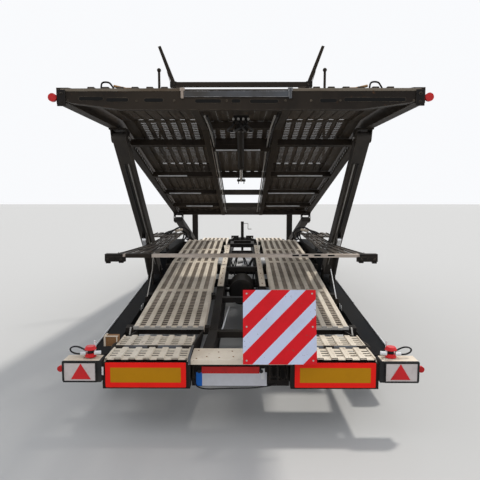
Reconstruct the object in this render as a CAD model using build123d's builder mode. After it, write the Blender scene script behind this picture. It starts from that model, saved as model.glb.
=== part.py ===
"""Two-deck car transporter drawbar trailer with centre tandem axles, parked on its jack.

Frame: X to the right, Y forward along the road, Z up, millimetres.
Stations are distances ahead of the rear marker plates; heights are above the road.
"""
import os
from math import atan2, cos, degrees, hypot, radians, sin, tan

from build123d import *

os.makedirs("parts", exist_ok=True)

# Overall
half_width = 1250.0
flat_gap = 0.3
pin_play = 0.05

# Wheels and axles
rear_axle = 4050.0
axle_spacing = 1200.0
tyre_radius = 355.0
tyre_width = 205.0
tyre_inset = 12.5
rim_radius = 225.0
twin_gap = 35.0
twin_spacing = tyre_width + twin_gap
outer_tyre_x = half_width - tyre_inset - tyre_width / 2
arch_clearance = 55.0
arch_radius = tyre_radius + arch_clearance
axle_height = tyre_radius
axle_stations = [rear_axle, rear_axle + axle_spacing]
axle_radius = 63.0
stub_radius = 45.0
stub_reach = 55.0
stub_end = outer_tyre_x + stub_reach
hub_reach = 105.0
stub_start = outer_tyre_x - twin_spacing - hub_reach
spring_x = 560.0
spring_width = 70.0
spring_half = 450.0
spring_thick = 48.0
spring_camber = 60.0
spring_tip = 14.0

# Chassis
spine_inner = 220.0
spine_width = 80.0
rail_width = 170.0
rail_inner = half_width - rail_width
rail_rear = 620.0
rail_front = 9200.0
rail_low = 250.0
rail_front_low = 350.0
hump_cover = 115.0
hump_rail_z = axle_height + arch_radius + hump_cover
cross_width = 80.0
cross_depth = 60.0
front_beam_length = 90.0

# Lower deck line, top of the track ribs
rear_track_start = 1110.0
rear_track_start_z = 490.0
hump_before = 450.0
hump_start = rear_axle - hump_before
hump_start_z = 757.0
hump_after = 430.0
hump_end = rear_axle + axle_spacing + hump_after
hump_end_z = 873.0
hump_ramp = 570.0
front_track_start = hump_end + hump_ramp
front_track_z = 600.0
front_track_end = rail_front - 20
rib_count = 7
rib_width = 50.0
rib_pitch = 100.0
rib_height = 10.0
track_width = (rib_count - 1) * rib_pitch + rib_width
track_gap = 85.0
track_outer = rail_inner - track_gap
track_inner = track_outer - track_width
sheet = 24.0

# Rear end
plate_back = 25.0
beam_back = 105.0
beam_low = 345.0
beam_top = 531.0
beam_inner = 353.0
lamp_width = 277.0
lamp_gap = 5.0
lamp_outer = half_width - lamp_gap
lamp_inner = lamp_outer - lamp_width
lamp_back = 8.0
lamp_front = 130.0
lamp_low = 398.0
lamp_top = 550.0
side_lamp_x = half_width + 26
side_lamp_radius = 22.0
beam_outer = lamp_inner
top_plate_start = 30.0
top_plate_end = 268.0
flap_rod_station = 290.0
flap_rod_radius = 12.0
flap_knuckle_radius = 20.0
flap_end = 580.0
board_side = 500.0
board_left = 18.0
board_thick = 4.0
board_foot_station = -91.0
board_foot_z = beam_top + 32
board_lean = 13.4
panel_setback = 35.0
tie_thick = 12.0
tie_rise = 42.0
plate_gap = 4.0
marker_height = 178.0
marker_rise = 3.0
marker_inner_margin = 28.0
marker_outer_margin = 22.0
marker_thick = 6.0
licence_width = 520.0
licence_height = 110.0
licence_left = -325.0
licence_low = 318.0
licence_thick = 6.0
red_strip_left = -280.0
red_strip_width = 417.0
red_strip_height = 50.0

# Upper deck
deck_kink = 1500.0
deck_kink_z = 2330.0
deck_slope = 13.28
deck_run = 4250.0
deck_rear = 95.0
side_beam_width = 80.0
main_beam_depth = 250.0
kink_beam_depth = 300.0
rear_beam_depth = 132.0
rear_beam_drop = 62.0
rear_beam_length = 65.0
rear_beam_half = half_width - 30
upper_lamp_x = half_width + 9
upper_lamp_radius = 28.0
upper_track_inner = 390.0
upper_track_outer = upper_track_inner + track_width
upper_track_gap = 20.0
upper_track_edge = half_width - side_beam_width - upper_track_gap
opening_pitch = 360.0
opening_share = 0.42
panel_column = 90.0
panel_columns = 3
inner_beam_x = 320.0
inner_beam_width = 60.0
upper_sheet_lift = 66.0
upper_cross = 70.0

# Front platform
platform_gap = 60.0
hinge_lift = 45.0
knuckle_radius = 24.0
knuckle_pin = 15.0
knuckle_width = 20.0
platform_end = 8700.0
platform_step = 3.0
platform_z = round(deck_kink_z - deck_run * tan(radians(deck_slope)) + platform_step)
platform_depth = 200.0
platform_members = 4
post_station = platform_end - 100
post_length = 140.0

# Lifting arms
arm_gap = 20.0
arm_width = 130.0
arm_outer = half_width - arm_gap
arm_inner = arm_outer - arm_width
arm_depth = 130.0
rear_foot = (3220.0, 700.0)
rear_head = (deck_kink - 40, deck_kink_z - 80)
front_foot = (8050.0, 640.0)
roller_station = 5620.0
roller_drop = 100.0
pin_radius = 25.0
eye_radius = 52.0
lug_thick = 12.0
roller_radius = 30.0
guide_height = 78.0
guide_forward = 50.0
guide_rearward = 110.0
guide_edge = 25.0

# Lifting cylinders
cylinder_x = (arm_inner + arm_outer) / 2
barrel_radius = 42.0
rod_radius = 28.0
cylinder_pin = 18.0
cylinder_eye = 36.0
cylinder_eye_width = 44.0
rear_barrel_foot = (2880.0, 665.0)
rear_barrel_length = 400.0
rear_rod_reach = 850.0
front_barrel_foot = (7800.0, 585.0)
front_barrel_length = 560.0
front_rod_reach = 1100.0
rod_lug_drop = 130.0
rod_neck = 82.0
rod_inside = 190.0

# Wheel lift frame between the decks
wing_z = 1130.0
wing_sheet = 20.0
wing_rear = 1130.0
wing_bar = 70.0
wing_width = 450.0
wing_front_width = 390.0
wing_notch = 205.0
wing_inner = half_width - wing_width
wing_front_inner = half_width - wing_front_width
wing_notch_x = half_width - wing_notch
wing_notch_start = 2050.0
wing_notch_end = 3180.0
wing_front = 3860.0
wing_pivot = (3960.0, 1085.0)

# Drawbar
drawbar_root_x = 560.0
drawbar_width = 100.0
drawbar_low = 360.0
drawbar_top = 500.0
eye_centre = 10860.0
eye_reach = 340.0
drawbar_nose = eye_centre - eye_reach
eye_outer = 65.0
eye_bore = 20.0
eye_thick = 46.0
jack_reach = 560.0
jack_station = rail_front + front_beam_length + jack_reach
jack_side = 80.0
jack_foot_side = 200.0

# Y of station zero, which puts the origin midway between the board's foot and the towing eye
station_zero_y = -(board_foot_station + eye_centre + eye_outer) / 2


def y_at(station):
    """Y of a station."""
    return station + station_zero_y


def side_plane(x):
    """Plane across the trailer at x, drawn as seen from its right-hand side."""
    return Plane(origin=(x, 0, 0), x_dir=(0, 1, 0), z_dir=(1, 0, 0))


def side_prism(x_from, x_to, outline, mode=Mode.ADD):
    """Extrude a closed outline of (station, height) pairs from one x to another."""
    with BuildSketch(side_plane(x_from), mode=Mode.PRIVATE) as profile:
        with BuildLine():
            Polyline([(y_at(s), z) for s, z in outline], close=True)
        make_face()
    extrude(profile.sketch, amount=x_to - x_from, mode=mode)


def block(x_range, s_range, z_range):
    """Box between two x, two stations and two heights."""
    (x0, x1), (s0, s1), (z0, z1) = x_range, s_range, z_range
    with Locations(((x0 + x1) / 2, y_at((s0 + s1) / 2), (z0 + z1) / 2)):
        Box(x1 - x0, s1 - s0, z1 - z0)


def cross_pin(centre, radius, x_from, x_to, mode=Mode.ADD):
    """Round bar or hole across the trailer at a (station, height) centre."""
    with BuildSketch(side_plane(x_from), mode=Mode.PRIVATE) as profile:
        with Locations((y_at(centre[0]), centre[1])):
            Circle(radius)
    extrude(profile.sketch, amount=x_to - x_from, mode=mode)


def side_marker(x_body, x_lamp, centre, radius):
    """Round marker lamp that faces rearward on a short rubber arm from x_body."""
    s, z = centre
    block((x_body, x_lamp), (s - 6, s + 6), (z - 9, z + 9))
    lamp_plane = Plane(origin=(x_lamp, y_at(s + 12), z), x_dir=(1, 0, 0), z_dir=(0, -1, 0))
    with BuildSketch(lamp_plane, mode=Mode.PRIVATE) as profile:
        Circle(radius)
    extrude(profile.sketch, amount=24)


def along(start, end, reach, rise=0.0):
    """Point at a reach from start towards end, moved by rise square to that line."""
    length = hypot(end[0] - start[0], end[1] - start[1])
    u = ((end[0] - start[0]) / length, (end[1] - start[1]) / length)
    return start[0] + u[0] * reach - u[1] * rise, start[1] + u[1] * reach + u[0] * rise


def distance(start, end):
    """Distance between two side-view points."""
    return hypot(end[0] - start[0], end[1] - start[1])


def deck_line(station):
    """Height of the lower deck's rib tops at a station."""
    knots = [
        (rear_track_start, rear_track_start_z),
        (hump_start, hump_start_z),
        (hump_end, hump_end_z),
        (front_track_start, front_track_z),
        (front_track_end, front_track_z),
    ]
    for (s0, z0), (s1, z1) in zip(knots, knots[1:]):
        if station <= s1:
            return z0 + (z1 - z0) * (station - s0) / (s1 - s0)
    return knots[-1][1]


def main_point(p, q):
    """Station and height of a point p along and q square to the main platform's lower edge."""
    a = radians(deck_slope)
    return deck_kink + p * cos(a) + q * sin(a), deck_kink_z - p * sin(a) + q * cos(a)


def main_p_at(station, q=0.0):
    """Distance p along the main platform at which a given q lies at a station."""
    a = radians(deck_slope)
    return (station - deck_kink - q * sin(a)) / cos(a)


def kink_point(q):
    """Where lines at height q over the level rear part and over the main platform meet."""
    return deck_kink + q * tan(radians(deck_slope) / 2), deck_kink_z + q


def save(builder, name):
    """Label a finished sub-part and write it."""
    builder.part.label = name
    export_step(builder.part, f"parts/{name}.step")


def rib_bands(x_inner, x_outer):
    """Pairs of x between which a track's ribs lie, cut off at the track's edges."""
    middle = (x_inner + x_outer) / 2
    centres = [middle + (i - (rib_count - 1) / 2) * rib_pitch for i in range(rib_count)]
    return [(max(x_inner, x - rib_width / 2), min(x_outer, x + rib_width / 2)) for x in centres]


def ribbed_track(lower_edge, x_inner, x_outer, x_edge=None):
    """Sheet above a side-view edge with ribs from x_inner to x_outer, plain on to x_edge, mirrored later."""
    sheet_top = [(s, z + sheet) for s, z in lower_edge]
    rib_top = [(s, z + sheet + rib_height) for s, z in lower_edge]
    side_prism(x_inner, x_edge or x_outer, lower_edge + sheet_top[::-1])
    for x_from, x_to in rib_bands(x_inner, x_outer):
        side_prism(x_from, x_to, sheet_top + rib_top[::-1])


def cut_openings(start, end, columns, thick):
    """Cut rows of openings through a sheet between two side-view points, in columns given as pairs of x."""
    length = distance(start, end)
    rows = round(length / opening_pitch)
    pitch = length / rows
    for x_from, x_to in columns:
        for i in range(rows):
            near = (i + (1 - opening_share) / 2) * pitch
            far = near + opening_share * pitch
            side_prism(x_from, x_to, [
                along(start, end, near, -1), along(start, end, far, -1),
                along(start, end, far, thick + 1), along(start, end, near, thick + 1),
            ], Mode.SUBTRACT)


def open_track(lower_edge):
    """Ribbed track of an upper deck with openings between its ribs."""
    ribbed_track(lower_edge, upper_track_inner, upper_track_outer, upper_track_edge)
    bands = rib_bands(upper_track_inner, upper_track_outer)
    columns = [(left[1], right[0]) for left, right in zip(bands, bands[1:])]
    cut_openings(*lower_edge, columns, sheet)


def track_edge(stations):
    """Lower edge of the lower deck's sheet through the given stations."""
    return [(s, deck_line(s) - sheet - rib_height) for s in stations]


# Spine beams: lower and upper edge as station and height
first_member = rear_track_start + 90
spine_rear = beam_back + 95
spine_low_edge = [
    (spine_rear, 360), (first_member, 275), (hump_start - 300, 300), (hump_start, 450),
    (hump_end + 20, 450), (hump_end + 420, 300), (rail_front, 330),
]
spine_top_edge = [
    (spine_rear, 520), (first_member, 430), (hump_start, hump_start_z - 97),
    (hump_end + 70, hump_end_z - 113), (front_track_start + 50, front_track_z - 100),
    (rail_front, front_track_z - 100),
]
with BuildPart() as spine_beams:
    side_prism(spine_inner, spine_inner + spine_width, spine_low_edge + spine_top_edge[::-1])
    mirror(about=Plane.YZ)
save(spine_beams, "spine_beams")

# Side rails with an arch over each wheel: top edge as station and height
rail_front_top = front_track_z - 100
rail_top = [
    (rail_rear, 390), (hump_start - 500, 586), (hump_start - 40, 600), (hump_start + 40, hump_rail_z),
    (hump_end + 80, hump_rail_z), (hump_end + 340, 560), (rail_front, rail_front_top),
]


def rail_height(station):
    """Height of the side rail's top at a station."""
    for (s0, z0), (s1, z1) in zip(rail_top, rail_top[1:]):
        if station <= s1:
            return z0 + (z1 - z0) * (station - s0) / (s1 - s0)
    return rail_top[-1][1]


with BuildPart() as side_rails:
    side_prism(rail_inner, half_width, [
        (rail_front, rail_front_low), (hump_end + 220, rail_low), (rail_rear, rail_low),
    ] + rail_top)
    for axle in axle_stations:
        cross_pin((axle, axle_height), arch_radius, rail_inner, half_width, Mode.SUBTRACT)
        side_prism(rail_inner, half_width, [
            (axle - arch_radius, axle_height), (axle + arch_radius, axle_height),
            (axle + arch_radius, 0), (axle - arch_radius, 0),
        ], Mode.SUBTRACT)
    mirror(about=Plane.YZ)
save(side_rails, "side_rails")

# Cross members under the lower tracks
member_stations = [
    first_member, first_member + 1000, hump_start - 40, rear_axle + axle_spacing / 2, hump_end - 40,
    front_track_start + 550, front_track_start + 1750, front_track_end - 80,
]
with BuildPart() as cross_members:
    for station in member_stations:
        rear_s, front_s = station - cross_width / 2, station + cross_width / 2
        rear_z = deck_line(rear_s) - sheet - rib_height
        front_z = deck_line(front_s) - sheet - rib_height
        side_prism(spine_inner + spine_width, rail_inner, [
            (rear_s, rear_z - cross_depth), (front_s, front_z - cross_depth),
            (front_s, front_z), (rear_s, rear_z),
        ])
    mirror(about=Plane.YZ)
    for station in member_stations:
        rear_s, front_s = station - cross_width / 2, station + cross_width / 2
        top = deck_line(station - cross_width) - sheet - rib_height - cross_depth / 2
        block((-spine_inner, spine_inner), (rear_s, front_s), (top - cross_depth, top))
save(cross_members, "cross_members")

# Lower deck tracks
for name, stations in [
    ("rear_tracks", [rear_track_start, hump_start]),
    ("hump_tracks", [hump_start, hump_end]),
    ("front_tracks", [hump_end, front_track_start, front_track_end]),
]:
    with BuildPart() as tracks:
        ribbed_track(track_edge(stations), track_inner, track_outer)
        mirror(about=Plane.YZ)
    save(tracks, name)

# Rear beam behind the marker plates
panel_face = beam_back + panel_setback
with BuildPart() as rear_beam:
    block((beam_inner, beam_outer), (plate_back, beam_back), (beam_low, beam_top))
    mirror(about=Plane.YZ)
    block((-beam_inner, beam_inner), (panel_face, panel_face + 20), (beam_low - 25, beam_top - 10))
save(rear_beam, "rear_beam")

# Ties from the rear beam to the first cross member, with the rods and rests of the rear flaps
tie_top = beam_top + tie_rise
rod_z = beam_top + tie_rise - flap_knuckle_radius
with BuildPart() as rear_ties:
    for x in (beam_inner, beam_outer - tie_thick):
        side_prism(x, x + tie_thick, [
            (beam_back, beam_low + 15), (rear_track_start + 50, 390), (rear_track_start + 50, 440),
            (rail_rear, beam_top - 5),
            (flap_rod_station + 40, tie_top), (flap_rod_station - 30, tie_top),
            (flap_rod_station - 60, beam_top - 10), (beam_back, beam_top - 10),
        ])
    cross_pin((flap_rod_station, rod_z), flap_rod_radius, beam_inner, beam_outer)
    block((beam_inner, beam_outer), (flap_end - 50, flap_end - 25), (beam_top - 40, beam_top - flat_gap))
    mirror(about=Plane.YZ)
save(rear_ties, "rear_ties")

# Ribbed cover plates on the rear beam, and the cover over the recess with the board's stays
plate_inner = beam_inner + tie_thick + plate_gap
plate_outer = beam_outer - tie_thick - plate_gap
lean = radians(board_lean)
board_foot = (board_foot_station, board_foot_z)
board_head = (board_foot_station + board_side * sin(lean), board_foot_z + board_side * cos(lean))
with BuildPart() as rear_top_plates:
    ribbed_track([(top_plate_start, beam_top), (top_plate_end, beam_top)], plate_inner, plate_outer)
    mirror(about=Plane.YZ)
    block((-beam_inner, beam_inner), (top_plate_start, panel_face + 150), (beam_top - 10, beam_top))
    for x in (90, 290):
        side_prism(x, x + 30, [
            (board_foot_station + 50, beam_top), (150, beam_top),
            along(board_foot, board_head, 330, -board_thick),
            along(board_foot, board_head, 120, -board_thick),
        ])
save(rear_top_plates, "rear_top_plates")

# Rear flaps
for name, side in (("rear_flap_right", 1), ("rear_flap_left", -1)):
    with BuildPart() as flap:
        ribbed_track([(flap_rod_station + 24, beam_top), (flap_end, beam_top)], plate_inner, plate_outer)
        for x in (plate_inner, (plate_inner + plate_outer) / 2 - 40, plate_outer - 80):
            side_prism(x, x + 80, [
                (flap_rod_station, rod_z - 10), (flap_rod_station + 40, rod_z - 10),
                (flap_rod_station + 40, rod_z + 10), (flap_rod_station, rod_z + 10),
            ])
            cross_pin((flap_rod_station, rod_z), flap_knuckle_radius, x, x + 80)
        flap_bore = flap_rod_radius + pin_play
        cross_pin((flap_rod_station, rod_z), flap_bore, plate_inner, plate_outer, Mode.SUBTRACT)
        if side < 0:
            mirror(about=Plane.YZ, mode=Mode.REPLACE)
    save(flap, name)

# Marker plates, licence plate and red strip
marker_top = beam_top + marker_rise
with BuildPart() as marker_plates:
    block(
        (beam_inner + marker_inner_margin, beam_outer - marker_outer_margin),
        (plate_back - marker_thick, plate_back), (marker_top - marker_height, marker_top),
    )
    mirror(about=Plane.YZ)
save(marker_plates, "marker_plates")

licence_top = licence_low + licence_height
licence_face = panel_face - licence_thick
with BuildPart() as licence_plate:
    block(
        (licence_left, licence_left + licence_width), (licence_face, panel_face),
        (licence_low, licence_top),
    )
save(licence_plate, "licence_plate")

# Rear lamp boxes, their lenses and the round side lamps
with BuildPart() as lamp_boxes:
    block((lamp_inner, lamp_outer), (lamp_back, lamp_front), (lamp_low, lamp_top))
    fillet(lamp_boxes.edges().filter_by(Axis.Y), 12)
    mirror(about=Plane.YZ)
save(lamp_boxes, "lamp_boxes")

side_lamp_centre = ((lamp_back + lamp_front) / 2, (lamp_low + lamp_top) / 2)
red_strip_low = licence_top - 12
with BuildPart() as lamp_lenses:
    block((lamp_inner + 42, lamp_outer - 17), (lamp_back - 5, lamp_back), (lamp_low + 12, lamp_top - 16))
    side_marker(lamp_outer, side_lamp_x, side_lamp_centre, side_lamp_radius)
    mirror(about=Plane.YZ)
    block(
        (red_strip_left, red_strip_left + red_strip_width), (licence_face - 5, licence_face),
        (red_strip_low, red_strip_low + red_strip_height),
    )
save(lamp_lenses, "lamp_lenses")

# Warning board
with BuildPart() as warning_board:
    side_prism(board_left, board_left + board_side, [
        board_foot, board_head,
        along(board_foot, board_head, board_side, -board_thick),
        along(board_foot, board_head, 0, -board_thick),
    ])
save(warning_board, "warning_board")

# Drawbar: front beam, two converging beams, a nose and a tie for the jack
nose_end = drawbar_nose + 150
with BuildPart() as drawbar:
    block((-half_width, half_width), (rail_front, rail_front + front_beam_length), (drawbar_low, drawbar_top))
    root_y = y_at(rail_front + front_beam_length)
    for side in (-1, 1):
        with BuildSketch(Plane.XY.offset(drawbar_low)):
            with BuildLine():
                Polyline([
                    (side * drawbar_root_x, root_y), (side * (drawbar_root_x + drawbar_width), root_y),
                    (side * 60, y_at(drawbar_nose)), (0, y_at(drawbar_nose)), (0, y_at(drawbar_nose - 260)),
                ], close=True)
            make_face()
        extrude(amount=drawbar_top - drawbar_low)
    block((-45, 45), (drawbar_nose - 60, nose_end), (drawbar_low + 20, drawbar_top - 20))
    block((-330, 330), (jack_station - 40, jack_station), (drawbar_low + 20, drawbar_top - 20))
save(drawbar, "drawbar")

# Towing eye
eye_z = (drawbar_low + drawbar_top) / 2
with BuildPart() as towing_eye:
    block((-32, 32), (nose_end, eye_centre), (eye_z - 30, eye_z + 30))
    with BuildSketch(Plane.XY.offset(eye_z - 30)):
        with Locations((0, y_at(eye_centre))):
            Circle(eye_outer + 30)
    extrude(amount=30 - eye_thick / 2, mode=Mode.SUBTRACT)
    with BuildSketch(Plane.XY.offset(eye_z + eye_thick / 2)):
        with Locations((0, y_at(eye_centre))):
            Circle(eye_outer + 30)
    extrude(amount=30 - eye_thick / 2, mode=Mode.SUBTRACT)
    with BuildSketch(Plane.XY.offset(eye_z - eye_thick / 2)):
        with Locations((0, y_at(eye_centre))):
            Circle(eye_outer)
    extrude(amount=eye_thick)
    with BuildSketch(Plane.XY.offset(eye_z - eye_thick / 2)):
        with Locations((0, y_at(eye_centre))):
            Circle(eye_bore)
    extrude(amount=eye_thick, mode=Mode.SUBTRACT)
save(towing_eye, "towing_eye")

# Jack with its foot on the road
with BuildPart() as jack:
    block((-jack_side / 2, jack_side / 2), (jack_station, jack_station + jack_side), (300, 980))
    inset = 8
    block(
        (-jack_side / 2 + inset, jack_side / 2 - inset),
        (jack_station + inset, jack_station + jack_side - inset), (14, 300),
    )
    jack_centre = jack_station + jack_side / 2
    foot_half = jack_foot_side / 2
    block((-foot_half, foot_half), (jack_centre - foot_half, jack_centre + foot_half), (0, 14))
save(jack, "jack")

# Axles with their stubs
with BuildPart() as axles:
    for axle in axle_stations:
        cross_pin((axle, axle_height), axle_radius, -stub_start, stub_start)
        cross_pin((axle, axle_height), stub_radius, -stub_end, stub_end)
save(axles, "axles")

# Leaf springs on the axles and the hangers that hold their ends
spring_low = axle_height + axle_radius
with BuildPart() as leaf_springs:
    for axle in axle_stations:
        with BuildSketch(side_plane(spring_x)):
            with BuildLine():
                y_mid = y_at(axle)
                low_start = (y_mid - spring_half, spring_low + spring_camber)
                low_end = (y_mid + spring_half, spring_low + spring_camber)
                top_start = (y_mid - spring_half, spring_low + spring_camber + spring_tip)
                top_end = (y_mid + spring_half, spring_low + spring_camber + spring_tip)
                ThreePointArc(low_start, (y_mid, spring_low), low_end)
                Line(low_end, top_end)
                ThreePointArc(top_end, (y_mid, spring_low + spring_thick), top_start)
                Line(top_start, low_start)
            make_face()
        extrude(amount=spring_width)
    mirror(about=Plane.YZ)
save(leaf_springs, "leaf_springs")

hanger_low = spring_low + spring_camber + spring_tip
with BuildPart() as spring_hangers:
    for back, front in (
        (rear_axle - spring_half - 40, rear_axle - spring_half + 120),
        (rear_axle + spring_half - 25, rear_axle + axle_spacing - spring_half + 25),
        (rear_axle + axle_spacing + spring_half - 120, rear_axle + axle_spacing + spring_half + 40),
    ):
        member = min(member_stations, key=lambda s: abs(s - (back + front) / 2))
        hanger_top = deck_line(member - cross_width / 2) - sheet - rib_height - cross_depth
        side_prism(spring_x, spring_x + spring_width, [
            (back, hanger_low), (front, hanger_low),
            (member + cross_width / 2, hanger_top), (member - cross_width / 2, hanger_top),
        ])
    mirror(about=Plane.YZ)
save(spring_hangers, "spring_hangers")

# Air tank between the spines
tank_radius = 165.0
tank_length = 600.0
tank_end = hump_start - 100
tank_start = tank_end - tank_length
tank_z = 440.0
with BuildPart() as air_tank:
    with BuildSketch(Plane(origin=(0, y_at(tank_start), tank_z), x_dir=(1, 0, 0), z_dir=(0, 1, 0))):
        Circle(tank_radius)
    extrude(amount=tank_end - tank_start)
    fillet(air_tank.edges().filter_by(GeomType.CIRCLE), 40)
    for station in (tank_start + 120, tank_end - 160):
        block((-spine_inner, spine_inner), (station, station + 40), (tank_z - 15, tank_z + 15))
save(air_tank, "air_tank")

# Twin wheels
for name, side, axle in [
    ("rear_right", 1, axle_stations[0]), ("rear_left", -1, axle_stations[0]),
    ("front_right", 1, axle_stations[1]), ("front_left", -1, axle_stations[1]),
]:
    wheel_plane = Plane(origin=(0, y_at(axle), axle_height), x_dir=(1, 0, 0), z_dir=(0, -1, 0))
    spin_axis = Axis((0, y_at(axle), axle_height), (1, 0, 0))
    with BuildPart() as tyres:
        with BuildSketch(wheel_plane):
            for x_mid in (outer_tyre_x - twin_spacing, outer_tyre_x):
                half = tyre_width / 2
                with BuildLine():
                    Polyline([
                        (x_mid - half + 22, rim_radius), (x_mid + half - 22, rim_radius),
                        (x_mid + half, rim_radius + 60), (x_mid + half, tyre_radius - 35),
                        (x_mid + half - 28, tyre_radius - 4), (x_mid + half - 60, tyre_radius),
                        (x_mid - half + 60, tyre_radius), (x_mid - half + 28, tyre_radius - 4),
                        (x_mid - half, tyre_radius - 35), (x_mid - half, rim_radius + 60),
                    ], close=True)
                make_face()
        revolve(axis=spin_axis)
        if side < 0:
            mirror(about=Plane.YZ, mode=Mode.REPLACE)
    save(tyres, f"tyres_{name}")
    with BuildPart() as rims:
        with BuildSketch(wheel_plane):
            with BuildLine():
                barrel_start = outer_tyre_x - twin_spacing - tyre_width / 2 + 16
                barrel_end = outer_tyre_x + tyre_width / 2 - 16
                web = outer_tyre_x - twin_spacing / 2 + 10
                Polyline([
                    (barrel_start, rim_radius), (barrel_end, rim_radius), (barrel_end, rim_radius - 18),
                    (web + 16, rim_radius - 18), (web + 16, 92), (stub_end + 20, 76), (stub_end + 20, 0),
                    (stub_end + 8, 0), (stub_end + 8, stub_radius + pin_play),
                    (stub_start + 8, stub_radius + pin_play), (stub_start + 8, 110), (web, 130),
                    (web, rim_radius - 18), (barrel_start, rim_radius - 18),
                ], close=True)
            make_face()
        revolve(axis=spin_axis)
        if side < 0:
            mirror(about=Plane.YZ, mode=Mode.REPLACE)
    save(rims, f"rims_{name}")


def arm_body(foot, head, depth_foot, depth_head, eye):
    """Tapered box arm with a round eye at each end, bored for its pins."""
    side_prism(arm_inner, arm_outer, [
        along(foot, head, 0, -depth_foot / 2), along(foot, head, distance(foot, head), -depth_head / 2),
        along(foot, head, distance(foot, head), depth_head / 2), along(foot, head, 0, depth_foot / 2),
    ])
    cross_pin(foot, eye + 12, arm_inner, arm_outer)
    cross_pin(head, eye, arm_inner, arm_outer)


def lug_pair(centre, x_inner, x_outer, height_at, radius):
    """Two plates with round ends about a pin, on a base whose height is known at each station."""
    s, z = centre
    back, front = s - radius - 25, s + radius + 25
    for x in (x_inner - lug_thick - flat_gap, x_outer + flat_gap):
        side_prism(x, x + lug_thick, [
            (back, height_at(back)), (front, height_at(front)), (s + radius, z), (s - radius, z),
        ])
        cross_pin(centre, radius, x, x + lug_thick)


# Rear lifting arms
rear_rod_pin = along(rear_foot, rear_head, rear_rod_reach, rod_lug_drop)
with BuildPart() as rear_arms:
    arm_body(rear_foot, rear_head, arm_depth + 30, 2 * eye_radius, eye_radius)
    for centre in (rear_foot, rear_head):
        cross_pin(centre, pin_radius + pin_play, arm_inner, arm_outer, Mode.SUBTRACT)
    half_eye = cylinder_eye_width / 2
    for x in (cylinder_x - half_eye - lug_thick - flat_gap, cylinder_x + half_eye + flat_gap):
        side_prism(x, x + lug_thick, [
            along(rear_foot, rear_head, rear_rod_reach - 90, arm_depth / 2 - 5),
            along(rear_foot, rear_head, rear_rod_reach + 90, arm_depth / 2 - 5),
            along(rear_foot, rear_head, rear_rod_reach + 30, rod_lug_drop + 25),
            along(rear_foot, rear_head, rear_rod_reach - 30, rod_lug_drop + 25),
        ])
    mirror(about=Plane.YZ)
save(rear_arms, "rear_arms")

# Front lifting arms, with the cross rollers that run in the deck's guides
front_head = main_point(main_p_at(roller_station, -roller_drop), -roller_drop)
front_rod_pin = along(front_foot, front_head, front_rod_reach, rod_lug_drop)
with BuildPart() as front_arms:
    arm_body(front_foot, front_head, arm_depth, 2 * roller_radius + 20, roller_radius + 12)
    cross_pin(front_foot, pin_radius + pin_play, arm_inner, arm_outer, Mode.SUBTRACT)
    cross_pin(front_head, roller_radius, arm_inner - lug_thick - 6, arm_outer + lug_thick + 4)
    for x in (cylinder_x - half_eye - lug_thick - flat_gap, cylinder_x + half_eye + flat_gap):
        side_prism(x, x + lug_thick, [
            along(front_foot, front_head, front_rod_reach - 90, arm_depth / 2 - 12),
            along(front_foot, front_head, front_rod_reach + 90, arm_depth / 2 - 12),
            along(front_foot, front_head, front_rod_reach + 30, rod_lug_drop + 25),
            along(front_foot, front_head, front_rod_reach - 30, rod_lug_drop + 25),
        ])
    mirror(about=Plane.YZ)
save(front_arms, "front_arms")

# Brackets on the side rails for the arms' and cylinders' feet
with BuildPart() as foot_brackets:
    for centre in (rear_foot, front_foot):
        lug_pair(centre, arm_inner, arm_outer, rail_height, 60)
        cross_pin(centre, pin_radius, arm_inner - lug_thick - flat_gap, arm_outer + lug_thick + flat_gap)
    for centre in (rear_barrel_foot, front_barrel_foot):
        lug_pair(centre, cylinder_x - half_eye, cylinder_x + half_eye, rail_height, 30)
        cross_pin(centre, cylinder_pin, cylinder_x - half_eye - lug_thick, cylinder_x + half_eye + lug_thick)
    mirror(about=Plane.YZ)
save(foot_brackets, "foot_brackets")


def cylinder_plane(start, end):
    """Plane square to a cylinder's axis at its foot, facing its rod."""
    direction = (0, end[0] - start[0], end[1] - start[1])
    return Plane(origin=(cylinder_x, y_at(start[0]), start[1]), x_dir=(1, 0, 0), z_dir=direction)


for name, start, end, barrel_length in (
    ("rear", rear_barrel_foot, rear_rod_pin, rear_barrel_length),
    ("front", front_barrel_foot, front_rod_pin, front_barrel_length),
):
    base_plane = cylinder_plane(start, end)
    reach = distance(start, end)
    with BuildPart() as barrels:
        with BuildSketch(base_plane.offset(cylinder_eye + 4)):
            Circle(barrel_radius)
        extrude(amount=barrel_length - cylinder_eye - 4)
        with BuildSketch(base_plane.offset(cylinder_eye + 34)):
            Circle(rod_radius + pin_play)
        extrude(amount=barrel_length, mode=Mode.SUBTRACT)
        cross_pin(start, cylinder_eye, cylinder_x - half_eye, cylinder_x + half_eye)
        with BuildSketch(base_plane):
            Rectangle(cylinder_eye_width, 2 * cylinder_eye - 12)
        extrude(amount=cylinder_eye + 10)
        cross_pin(start, cylinder_pin + pin_play, cylinder_x - half_eye, cylinder_x + half_eye, Mode.SUBTRACT)
        mirror(about=Plane.YZ)
    save(barrels, f"{name}_barrels")
    with BuildPart() as rods:
        with BuildSketch(base_plane.offset(barrel_length - rod_inside)):
            Circle(rod_radius)
        extrude(amount=reach - barrel_length + rod_inside - rod_neck)
        with BuildSketch(base_plane.offset(reach - rod_neck)):
            Rectangle(cylinder_eye_width, 2 * cylinder_eye - 12)
        extrude(amount=rod_neck)
        cross_pin(end, cylinder_eye, cylinder_x - half_eye, cylinder_x + half_eye)
        mirror(about=Plane.YZ)
    save(rods, f"{name}_rods")

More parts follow.
